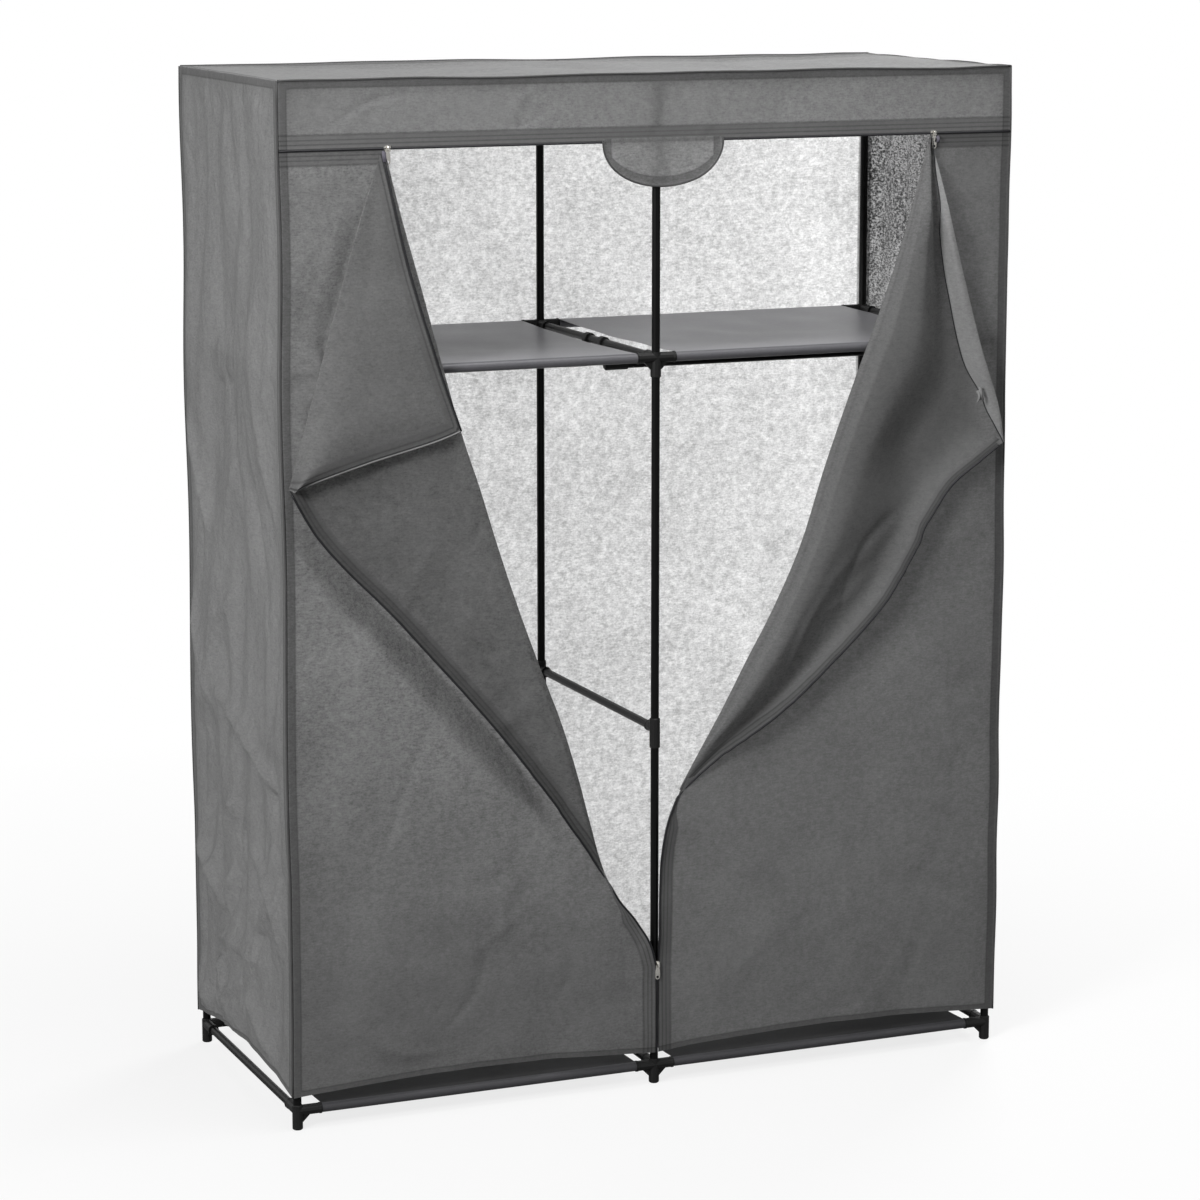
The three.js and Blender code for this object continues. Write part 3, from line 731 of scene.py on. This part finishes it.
# Doors. Their lines run in the front plane, as (x, z) from the top slider downwards:
# fold, where the panel turns over into the flap; crease, where the flap's corner is folded back;
# corner, that corner's free edge; tape, the flap's free edge. The flap ends at flap_end.
# In millimetres: roll, the fold's radii from the top down; hollow, how far the flap bulges beside
# the fold and lifts at its free edge; crown and curl, how far the folded corner bulges and its
# edge stands off; dip and turn, how far the panel sinks beside the flap, below and above;
# pucker, how far the taped edge wanders. bow bends the folded corner to the left, in metres.
# narrow squeezes the tape, flat makes the bulge's slope gentler below, and a tucked corner lies
# close to the flap and shows no tape.
LEFT_DOOR = {
    "side": -1,
    "fold": [
        (-0.443, 1.4945), (-0.418, 1.393), (-0.389, 1.289), (-0.360, 1.182), (-0.328, 1.069),
        (-0.298, 0.980), (-0.271, 0.893), (-0.238, 0.795), (-0.203, 0.700), (-0.167, 0.607),
        (-0.139, 0.520), (-0.118, 0.445), (-0.095, 0.370), (-0.070, 0.315), (-0.039, 0.275),
        (-0.015, 0.235), (-0.003, 0.1975),
    ],
    "crease": [
        (-0.447, 1.4945), (-0.487, 1.381), (-0.522, 1.265), (-0.558, 1.140), (-0.600, 0.996),
    ],
    "corner": [(-0.335, 1.073), (-0.389, 1.058), (-0.465, 1.037), (-0.560, 1.010), (-0.600, 0.996)],
    "tape": [
        (-0.600, 0.996), (-0.560, 0.926), (-0.510, 0.867), (-0.447, 0.803), (-0.381, 0.729),
        (-0.300, 0.636), (-0.235, 0.556), (-0.176, 0.478), (-0.125, 0.404), (-0.078, 0.331),
    ],
    "flap_end": 0.331,
    "roll": (2, 7, 9, 3), "hollow": (4.0, 0.0), "bow": 0.012, "crown": 13.0, "curl": 17.0,
    "dip": 52.0, "turn": 8.0, "pucker": 2.2, "narrow": 1.0, "flat": 0.0, "tucked": False,
    "cloth": LEFT_CLOTH,
}
RIGHT_DOOR = {
    "side": 1,
    "fold": [
        (0.463, 1.4945), (0.440, 1.410), (0.409, 1.310), (0.374, 1.215), (0.334, 1.115),
        (0.285, 0.985), (0.243, 0.860), (0.197, 0.762), (0.152, 0.682), (0.110, 0.605),
        (0.067, 0.530), (0.030, 0.462), (0.010, 0.402), (0.004, 0.306), (0.003, 0.1975),
    ],
    "crease": [
        (0.466, 1.4945), (0.488, 1.365), (0.517, 1.254), (0.549, 1.147), (0.578, 1.064),
        (0.589, 1.003),
    ],
    "corner": [
        (0.466, 1.4900), (0.480, 1.337), (0.497, 1.239), (0.523, 1.140), (0.551, 1.085),
        (0.562, 1.055), (0.589, 1.003),
    ],
    "tape": [
        (0.589, 1.003), (0.548, 0.974), (0.500, 0.940), (0.458, 0.884), (0.424, 0.819),
        (0.373, 0.746), (0.277, 0.655), (0.203, 0.595), (0.106, 0.529), (0.045, 0.478),
    ],
    "flap_end": 0.478,
    "roll": (2, 9, 9, 3), "hollow": (25.0, 21.0), "bow": 0.0, "crown": 1.0, "curl": 0.0,
    "dip": 6.0, "turn": 4.0, "pucker": 3.2, "narrow": 1.5, "flat": 0.5, "tucked": True,
    "cloth": RIGHT_CLOTH,
}
TIP_HEIGHT = 1.192  # where the crease reaches the door's free edge on the flat cloth
FLAP_REST = 6 * MM  # how far a flap's free edge stands off the door
CREASE_RADIUS = 1.5 * MM
CORNER_REST = 3.5 * MM  # how far a folded corner stands off the flap below it


def tube(name, path, radius, material, sides=8):
    """A round tube along a path of points."""
    path = np.asarray(path, float)
    steps = np.linalg.norm(np.diff(path, axis=0), axis=1)
    path = path[np.concatenate([[True], steps > 0.3 * MM])]
    ahead = np.gradient(path, axis=0)
    ahead /= np.linalg.norm(ahead, axis=1)[:, None]
    first = np.cross(ahead, (0, 1, 0))
    first /= np.maximum(np.linalg.norm(first, axis=1), 1e-6)[:, None]
    second = np.cross(ahead, first)
    turn = np.arange(sides) / sides * 2 * math.pi
    ring = np.cos(turn)[None, :, None] * first[:, None] + np.sin(turn)[None, :, None] * second[:, None]
    points = (path[:, None] + radius * ring).reshape(-1, 3)
    faces = grid_faces(len(path), sides, close_columns=True)
    last = (len(path) - 1) * sides
    faces += [tuple(range(sides))[::-1], tuple(range(last, last + sides))]
    obj = make_object(name, points, faces, [material])
    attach(obj, "wardrobe")
    return obj


def zip_tube(name, path):
    return tube(name, path, 1.7 * MM, COIL)


def door_relief(x, z, side):
    seed = 50 + side
    total = 3 * MM * billow(x, z * 0.55, seed, 0.6, 0.13)
    total = total + 1.1 * MM * billow(x, z, seed + 10, 0.16, 0.05)
    low, high = sorted((side * 0.08, side * 0.56))
    total += creases(x, z, seed + 20, 10, (low, 0.12), (high, 0.6), (20, 160), 2.5 * MM, 0.2)
    low, high = sorted((side * 0.5, side * 0.58))
    total += creases(x, z, seed + 21, 4, (low, 1.0), (high, 1.4), (80, 100), 3 * MM, 0.3)
    return clear_of_connectors(clear_of_tubes(total, z, ("base", "shelf", "roof")), x, z)


def laid_from(start, way, share):
    """x and z at shares of the way that leads from each point of a line."""
    return start[:, :1] + way[:, :1] * share, start[:, 1:] + way[:, 1:] * share


def to_free_edge(x, z):
    """How far each point of a grid is from the last point of its row, along the row."""
    steps = np.hypot(np.diff(x, axis=1), np.diff(z, axis=1))
    return np.cumsum(np.hstack([steps, 0 * steps[:, :1]])[:, ::-1], axis=1)[:, ::-1]


def layers(first, turn, roll, laid):
    """The layer value that Patches stores: it grows by 1 round a roll and stays so beyond it."""
    turned = first + ease(turn, 0.3 * math.pi, 0.7 * math.pi) + 0 * roll
    return np.hstack([turned, first + 1 + 0 * laid])


def depth_behind(x, z, grid, reach):
    """How far out a grid of cloth stands behind each point, smoothed over the reach."""
    gx, gz = grid[..., 0].ravel(), grid[..., 2].ravel()
    go = FRONT_Y - grid[..., 1].ravel()
    result = np.zeros(x.size)
    for k, (px, pz) in enumerate(zip(x.ravel(), z.ravel())):
        distance = np.hypot(gx - px, gz - pz)
        near = distance < 2.5 * reach
        if near.any():
            weight = np.exp(go[near] / (2.5 * MM) - (distance[near] / reach) ** 2)
            result[k] = (weight * go[near]).sum() / weight.sum()
    return result.reshape(x.shape)


class Door:
    """A door of the cover: a panel, the flap folded out over it, and the flap's folded corner."""

    CORNER_TURN = np.linspace(0, math.pi, 7)[None, :]

    def __init__(self, shape):
        self.shape = shape
        self.side = shape["side"]
        self.end = shape["flap_end"]
        self.top = DOOR_TOP_Z + ZIP_OVERLAP
        self.fold = smooth_curve(shape["fold"], 500)
        self.crease_line = smooth_curve(shape["crease"])
        self.corner_line = smooth_curve(shape["corner"])
        self.tape_line = self.puckered(smooth_curve(shape["tape"]))
        self.low_rows = np.linspace(HEM_Z, MEETING_Z, 24)[:-1]
        self.edge_rows = np.linspace(MEETING_Z, self.end, 24)[:-1]
        self.flap_rows = np.linspace(self.end, TIP_HEIGHT, 110)[:-1]
        self.corner_rows = np.linspace(TIP_HEIGHT, self.top, 46)

    def puckered(self, line):
        run = np.linspace(0, 1, len(line))
        wave = billow(run, 0 * run, 80 + self.side, 0.12, 0.03, 12)
        pucker = self.shape["pucker"] * MM * wave * fade(run, 0, 1, 0.1)
        return line + pucker[:, None] * (self.side, 1)

    def fold_frame(self, h):
        """Edge point, inward normal and roll radius of the fold at heights h."""
        step = 2 * MM
        x = at_height(self.fold, h)
        dx = at_height(self.fold, h + step) - at_height(self.fold, h - step)
        length = np.hypot(dx, 2 * step)
        normal = np.stack([-self.side * 2 * step / length, self.side * dx / length], -1)
        radii = np.array(self.shape["roll"][::-1]) * MM
        radius = np.interp(h, [self.end, self.end + 0.25, 1.2, self.top], radii)
        radius = radius * ease(h, self.end - 0.001, self.end + 0.12)
        return np.stack([x, h], -1), normal, np.maximum(radius, 0.05 * MM)

    def panel(self, patches):
        """The panel, from the cover's corner to the fold or to the free edge below it."""
        end, top = self.end, self.top
        rows = np.concatenate([self.low_rows, self.edge_rows, self.flap_rows, self.corner_rows])
        share = np.linspace(0, 1, 110)[None, :]
        point, normal, radius = self.fold_frame(np.maximum(rows, MEETING_Z))
        base = point - normal * radius[:, None] * ease(rows, MEETING_Z, end)[:, None]
        closed = rows < MEETING_Z
        base[closed, 0] = self.side * 2.5 * MM
        base[closed, 1] = rows[closed]
        h = rows[:, None]
        outer = edge_x(h, self.side)
        x = outer + (base[:, :1] - outer) * share
        z = h + (base[:, 1:] - h) * share**3
        hem = hem_height(x, (-SIDE_X, 0, SIDE_X))
        z = z + (hem - HEM_Z) * np.clip((MEETING_Z - z) / (MEETING_Z - HEM_Z), 0, 1)
        near_edge = np.abs(base[:, :1] - x)
        out = self.panel_relief(x, z, h, share, near_edge)
        taper = 1 + 7 * ease(h, end - 0.06, end + 0.03)
        across = near_edge * taper + ease(h, end + 0.02, end + 0.06)
        zip_edge = np.minimum(across, np.maximum(top - z, 0))
        seam = np.minimum(np.abs(outer) - np.abs(x), z - hem + HEM_SEAM)
        grid = in_front(x, z, out)
        patches.add(grid, zip_edge=zip_edge, seam=np.maximum(seam, 0))
        return grid

    def panel_relief(self, x, z, h, share, near_edge):
        """Waves of the panel, its curled free edge, and the pocket beside the flap."""
        end = self.end
        inside = fade(x, -SIDE_X, SIDE_X) * (1 - share**6 * ease(h, end - 0.1, end))
        inside = inside * ease(self.top - z, 0, 0.05)
        out = door_relief(x, z, self.side) * inside
        curl = (1 - ease(h, end - 0.02, end + 0.05)) * ease(h, MEETING_Z, MEETING_Z + 0.05)
        out = out + 5 * MM * curl * np.exp(-near_edge / 0.02)
        beyond = self.side * (x - at_height(np.vstack([self.crease_line, self.tape_line]), z))
        below = ease(z, end + 0.02, end + 0.25) * (1 - ease(z, 0.8, 0.95))
        above = ease(z, 1.08, 1.2) * (1 - ease(z, 1.35, 1.46))
        pocket = np.clip(1 - beyond / (0.03 + 0.045 * below), 0, 1) ** 1.2
        pocket = pocket * (1 - ease(share, 0.85, 1))
        out = out - (self.shape["dip"] * below + self.shape["turn"] * above) * MM * pocket
        return clear_of_connectors(clear_of_tubes(out, z, ("shelf",), 60 * MM), x, z)

    def flap(self, patches):
        """The roll along the fold, and the flap that hangs outside the panel."""
        top = self.top
        h = np.concatenate([self.flap_rows, self.corner_rows])
        on_corner = (h > TIP_HEIGHT)[:, None]
        point, normal, radius = self.fold_frame(h)
        radius = radius[:, None]
        base = point - normal * radius
        to_crease = along_share(self.crease_line, (top - h) / (top - TIP_HEIGHT))
        to_tape = along_share(self.tape_line, (TIP_HEIGHT - h) / (TIP_HEIGHT - self.end))
        target = np.where(on_corner, to_crease, to_tape)
        turn = np.linspace(0, math.pi, 9)[None, :]
        roll_x, roll_z = laid_from(base, normal * radius, np.sin(turn))
        s = np.linspace(0, 1, 40)[None, 1:]
        flap_x, flap_z = laid_from(base, target - base, s)
        width = np.linalg.norm(target - base, axis=1)[:, None]
        x, z = np.hstack([roll_x, flap_x]), np.hstack([roll_z, flap_z])
        flap_out = self.flap_relief(flap_x, flap_z, s, width, radius)
        out = np.hstack([radius * (1 - np.cos(turn)), flap_out])
        zip_edge = np.where(on_corner, 1.0, to_free_edge(x, z) * self.shape["narrow"])
        zip_edge = np.minimum(zip_edge, np.maximum(top - h, 0)[:, None])
        grid = in_front(x, z, out)
        patches.add(grid, zip_edge=zip_edge, layer=layers(0, turn, roll_x, flap_x))
        return grid

    def flap_relief(self, x, z, s, width, radius):
        """How far the flap stands off the door, from the roll at s = 0 to the edge at s = 1."""
        rise, lift = (value * MM for value in self.shape["hollow"])
        size = ease(width, 0, 0.1)
        rest = FLAP_REST * size + 0.4 * MM
        out = 2 * radius * (1 - ease(s, 0, 0.75)) + rest * ease(s)
        fall = 0.38 + self.shape["flat"] * ease(1.04 - z, 0, 0.2)
        ridge = ease(s, -0.3, 0.24) * (1 - ease((s - 0.2) / fall))
        edge_lift = lift * ease(width, 0, 0.07) * bump(s, 1, 0.13)
        out = out + size * rise * ridge + edge_lift
        wrinkle = 1.5 * MM * billow(x, z, 70 + self.side, 0.3, 0.06)
        low, high = sorted((self.side * 0.05, self.side * 0.4))
        wrinkle += creases(x, z, 74 + self.side, 9, (low, 0.5), (high, 1.0), (20, 70), 3 * MM, 0.16)
        out = out + size * wrinkle * np.sin(math.pi * s) ** 0.5
        return np.maximum(out, rest * 0.8)

    def corner(self, patches, flap):
        """The flap's upper corner, folded back over the flap along the crease."""
        h = self.corner_rows
        share = ((self.top - h) / (self.top - TIP_HEIGHT))[:, None]
        start = along_share(self.crease_line, share[:, 0])
        goal = along_share(self.corner_line, share[:, 0])
        start_out = FRONT_Y - flap[-len(h) :, -1:, 1]
        radius = CREASE_RADIUS * ease(share, 0, 0.15) + 0.1 * MM
        turn = self.CORNER_TURN
        roll_x, roll_z = laid_from(start, self.outward(start) * radius, np.sin(turn))
        roll_out = start_out + radius * (1 - np.cos(turn))
        s = np.linspace(0, 1, 34)[None, 1:]
        lay_x, lay_z = laid_from(start, goal - start, s)
        lay_x = lay_x - self.shape["bow"] * np.sin(math.pi * s) * (1 - share) ** 2
        lay_out = self.corner_relief(lay_x, lay_z, s, share, start_out + 2 * radius, flap)
        x, z = np.hstack([roll_x, lay_x]), np.hstack([roll_z, lay_z])
        zip_edge = np.minimum(to_free_edge(x, z), np.maximum(self.top - h, 0)[:, None])
        if self.shape["tucked"]:
            zip_edge = 1.0
        grid = in_front(x, z, np.hstack([roll_out, lay_out]))
        patches.add(grid, zip_edge=zip_edge, layer=layers(1, turn, roll_x, lay_x))
        return grid

    def outward(self, line):
        """Unit vectors square to a line, away from the doors' meeting."""
        ahead = np.gradient(line, axis=0)
        ahead /= np.maximum(np.linalg.norm(ahead, axis=1), 1e-9)[:, None]
        across = np.stack([ahead[:, 1], -ahead[:, 0]], -1)
        return across * self.side * np.sign(across[:, :1] + 1e-12)

    def corner_relief(self, x, z, s, share, start_out, flap):
        """How far the folded corner stands out, from the crease at s = 0 to the edge at s = 1."""
        shape = self.shape
        if shape["tucked"]:
            under = depth_behind(x, z, flap, 4 * MM)
            out = start_out + (under + 3 * MM - start_out) * ease(s, -0.3, 1)
        else:
            under = depth_behind(x, z, flap, 10 * MM)
            out = np.maximum(start_out, under + CORNER_REST * ease(s, 0, 0.3))
        out = out + shape["crown"] * MM * np.sin(math.pi * s) * ease(share, 0, 0.35)
        out = out + shape["curl"] * MM * ease(s, 0.1, 1) * ease(share, -0.2, 0.2)
        return out + 1.2 * MM * np.sin(math.pi * s) * billow(x, z, 90 + self.side, 0.25, 0.07)

    def edges(self, node, panel, flap, corner):
        """The zip's coils and the bound or tucked edge of the corner."""
        first = len(self.low_rows)
        loose_edge = panel[first : first + len(self.edge_rows), -1]
        tape_edge = flap[: len(self.flap_rows), -1]
        side_edge = corner[::-1, -1]
        if self.shape["tucked"]:
            tube(f"{node}_tucked_edge", side_edge, 0.9 * MM, COIL)
        else:
            zip_tube(f"zip_coil_{node}", corner[-1, self.CORNER_TURN.size :])
            tube(f"{node}_corner_edge", side_edge, 1.3 * MM, BINDING)
        zip_tube(f"zip_coil_{node}_lower", np.vstack([loose_edge, tape_edge]))

    def build(self, name, node):
        patches = Patches()
        panel = self.panel(patches)
        flap = self.flap(patches)
        corner = self.corner(patches, flap)
        obj = patches.build(name, [self.shape["cloth"]])
        finish_cloth(obj, [node])
        self.edges(node, panel, flap, corner)
        return obj


left_door = Door(LEFT_DOOR).build("cover_door_left", "door_left")
right_door = Door(RIGHT_DOOR).build("cover_door_right", "door_right")


# Closed stretches of the zips, piping of the cover's edges and loose tape ends
def closed_zips():
    y = FRONT_Y - 0.6 * MM
    zip_tube("zip_coil_top", resample(np.array([[-SIDE_X, y, ZIP_Z], [SIDE_X, y, ZIP_Z]]), 60))
    zip_tube("zip_coil_middle", resample(np.array([[0, y, HEM_Z], [0, y, MEETING_Z]]), 20))


def piping():
    x = np.linspace(-SIDE_X, SIDE_X, 120)
    y = np.linspace(FRONT_Y, BACK_Y, 50)
    z = np.linspace(HEM_Z, ROOF_Z, 60)
    walls = {"front": FRONT_Y, "rear": BACK_Y}

    def pipe(name, x, y, z, radius=1.7 * MM):
        tube(f"piping_{name}", np.stack([x, y, z], -1), radius, PIPING)

    for named, side in SIDES.items():
        for row, wall_y in walls.items():
            pipe(f"{named}_{row}", edge_x(z, side), wall_y + 0 * z, z, 1.6 * MM)
    for row, wall_y in walls.items():
        pipe(f"roof_{row}", x, wall_y + 0 * x, rim_height(x, wall_y + 0 * x))
    for named, side in SIDES.items():
        wall_x = edge_x(ROOF_Z + 0 * y, side)
        pipe(f"roof_{named}", wall_x, y, rim_height(wall_x, y))


def tape_end(name, x, z, side, length=15 * MM, width=7 * MM, stand=3 * MM, material=TAPE):
    """A loose end of zip tape, bent down beside its slider."""
    along = np.linspace(0, 1, 10)[:, None]
    across = np.linspace(-0.5, 0.5, 5)[None, :]
    fall = 1.1 + 0.5 * along
    grid_x = x + side * (length * along * np.cos(fall) + width * across * np.sin(fall))
    grid_z = z - length * along * np.sin(fall) + width * across * np.cos(fall)
    out = stand + 5 * MM * np.sin(2.4 * along) + 1.2 * MM * np.cos(5 * across)
    patches = Patches()
    patches.add(in_front(grid_x, grid_z, out))
    obj = patches.build(name, [material])
    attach(obj, "wardrobe")


closed_zips()
piping()
tape_end("tape_crumple", 0.548, 1.094, -1, 20 * MM, 8 * MM, 28 * MM, BINDING)
tape_end("tape_crumple_end", 0.540, 1.090, 1, 18 * MM, 5 * MM, 30 * MM, BINDING)
tape_end("tape_end_left", middle("zip_slider_left").x - 5 * MM, ZIP_Z - 4 * MM, -1)
tape_end("tape_end_right", middle("zip_slider_right").x + 5 * MM, ZIP_Z - 4 * MM, 1, 10 * MM, 6 * MM)


# Half-round tab over the meeting zips
def tab():
    low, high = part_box("zip_cover_tab")
    centre_x = (low.x + high.x) / 2
    half = (high.x - low.x) / 2
    drop = VALANCE_Z - low.z - 4 * MM  # leaves room for the pull of the middle zip
    tuck = 3 * MM  # how far the tab reaches up behind the valance's edge
    angle = np.linspace(0, math.pi, 60)[None, :]
    share = np.linspace(0, 1, 26)[:, None]
    edge_v = -drop * np.sin(angle) ** 0.9
    x = centre_x - half * np.cos(angle) + 0 * share
    z = VALANCE_Z + tuck + (edge_v - tuck) * share
    seam = np.minimum((1 - share) * (np.abs(edge_v) + tuck), half - np.abs(x - centre_x))
    out = 2.2 * MM + (1.4 * MM * billow(x, z, 61, 0.2, 0.05) + 3 * MM) * share
    grid = in_front(x, z, out)
    obj = cloth_piece("cover_tab", "zip_cover_tab", grid, [TAB_CLOTH], seam=seam)
    tube("tab_binding", grid[-1], 1.5 * MM, PIPING)
    return obj


tab_cloth = tab()


# Shelves: a sleeve round each width tube and a slightly sagging cloth between them
SLEEVE_RADIUS = TUBE_RADIUS + 1.1 * MM
SLEEVE_TURN = math.radians(320)
SHELF_SAG = 7 * MM
FRONT_ROW, REAR_ROW = ROWS["front"], ROWS["rear"]
SHELF_SEEDS = {
    ("left", "base"): 101, ("right", "base"): 102, ("left", "upper"): 111, ("right", "upper"): 112,
}


def shelf_profile(z_axis):
    """The cloth's section as (y, z): round the front tube, straight across, round the rear tube."""
    angles = np.linspace(math.pi / 2 - SLEEVE_TURN, math.pi / 2, 22)
    reach, z = SLEEVE_RADIUS * np.cos(angles), z_axis + SLEEVE_RADIUS * np.sin(angles)
    front = np.stack([FRONT_ROW - reach, z], 1)
    rear = np.stack([REAR_ROW + reach, z], 1)[::-1]
    between = np.linspace(FRONT_ROW, REAR_ROW, 44)[1:-1]
    flat = np.stack([between, np.full(len(between), z_axis + SLEEVE_RADIUS)], 1)
    return np.vstack([front, flat, rear])


def shelf(side, level, z_axis):
    low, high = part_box(f"shelf_{side}_{level}")
    profile = shelf_profile(z_axis)
    x = np.linspace(low.x, high.x, 60)[:, None]
    y = profile[None, :, 0] + 0 * x
    z = profile[None, :, 1] + 0 * x
    span = np.clip((y - FRONT_ROW) / (REAR_ROW - FRONT_ROW), 0, 1)
    run = (x - low.x) / (high.x - low.x)
    belly = np.sin(math.pi * span) ** 0.8 * (0.55 + 0.45 * np.sin(math.pi * run))
    wave = billow(x, y, SHELF_SEEDS[side, level], 0.3, 0.08)
    z = z - SHELF_SAG * belly * (1 + 0.25 * wave)
    name, node = f"shelf_cloth_{side}_{level}", f"shelf_{side}_{level}"
    materials = [SHELF_TOP[level], SHELF_SLEEVE[level]]
    obj = cloth_piece(name, node, np.stack([x + 0 * y, y, z], -1), materials, slot="shelf_cloth")
    edge = (REAR_ROW - FRONT_ROW) / 2 - SLEEVE_RADIUS / 2
    centre = (REAR_ROW + FRONT_ROW) / 2
    # sleeve faces take the second copy of the shelf cloth; the copies differ as painted light and shade
    sewn = [int(abs(face.center.y - centre) > edge) for face in obj.data.polygons]
    obj.data.polygons.foreach_set("material_index", sewn)
    return obj


for level, carried_at in SHELF_LEVELS.items():
    for side in SIDES:
        shelf(side, level, LEVELS[carried_at])


# Stage: floor, world, lamps and camera
AMBIENT = 0.12  # how bright the world is as a light, though it looks white


def floor():
    sh = Shader("floor")
    shade = sh.scaled(sh.noise(2, 2), 0.3, 0.7, 0.97, 1.0)
    seen = sh.node("LightPath").outputs["Is Camera Ray"]
    level = sh.times(shade, sh.scaled(seen, 0, 1, 0.3, 0.8))
    keys = {"Base Color": sh.tint(grey(1.0), level), "Roughness": 0.7, "Specular IOR Level": 0.1}
    body = sh.node("BsdfPrincipled", keys)
    glow = sh.node("Emission", {"Color": (1, 1, 1, 1), "Strength": 1.0})
    place = sh.node("TexCoord").outputs["Object"]
    far = sh.node("VectorMath", {0: place}, operation="LENGTH").outputs["Value"]
    share = sh.times(seen, sh.scaled(far, 0.7, 2.4, 0.8, 1.0))
    mixed = sh.node("MixShader", {"Fac": share, 1: body.outputs[0], 2: glow.outputs[0]})
    size = 30
    points = [(-size, -size, 0), (size, -size, 0), (size, size, 0), (-size, size, 0)]
    obj = make_object("floor", points, [(0, 1, 2, 3)], [sh.surface(mixed)])
    obj.location.z = -0.3 * MM


def world():
    sh = Shader("studio", bpy.data.worlds, "OutputWorld")
    path = sh.node("LightPath").outputs
    white = sh.math("MAXIMUM", path["Is Camera Ray"], path["Is Glossy Ray"])
    white = sh.math("MAXIMUM", white, path["Is Transmission Ray"])
    keys = {"Color": (1, 1, 1, 1), "Strength": sh.scaled(white, 0, 1, AMBIENT, 1)}
    bpy.context.scene.world = sh.surface(sh.node("Background", keys))


def add_aimed(name, data, place, ahead):
    obj = add_object(name, data)
    obj.location = place
    obj.rotation_mode = "QUATERNION"
    obj.rotation_quaternion = ahead.to_track_quat("-Z", "Y")
    return obj


def lamp(name, place, aim, size, power):
    data = bpy.data.lights.new(name, "AREA")
    data.shape = "RECTANGLE"
    data.size, data.size_y = size
    data.energy = power
    add_aimed(name, data, place, Vector(aim) - Vector(place))


floor()
world()
lamp("key_light", (-3.6, -2.6, 2.7), (0, -0.1, 0.9), (1.3, 1.1), 172)
lamp("top_light", (0.2, -0.7, 3.3), (0, -0.1, 1.3), (2.0, 1.0), 50)
lamp("rear_light", (2.6, 2.4, 2.4), (0.3, 0, 0.8), (1.6, 1.6), 104)


def camera():
    data = bpy.data.cameras.new("camera")
    ahead = Vector((
        math.sin(CAMERA_AZIMUTH) * math.cos(CAMERA_PITCH),
        math.cos(CAMERA_AZIMUTH) * math.cos(CAMERA_PITCH),
        -math.sin(CAMERA_PITCH),
    ))
    place = CAMERA_TARGET - ahead * CAMERA_DISTANCE
    bpy.context.scene.camera = add_aimed("camera", data, place, ahead)
    data.lens = CAMERA_LENS
    data.sensor_width = 36
    data.shift_y = CAMERA_SHIFT
    data.clip_start = 0.05
    data.clip_end = 200


camera()
bpy.context.scene.view_settings.view_transform = "Standard"
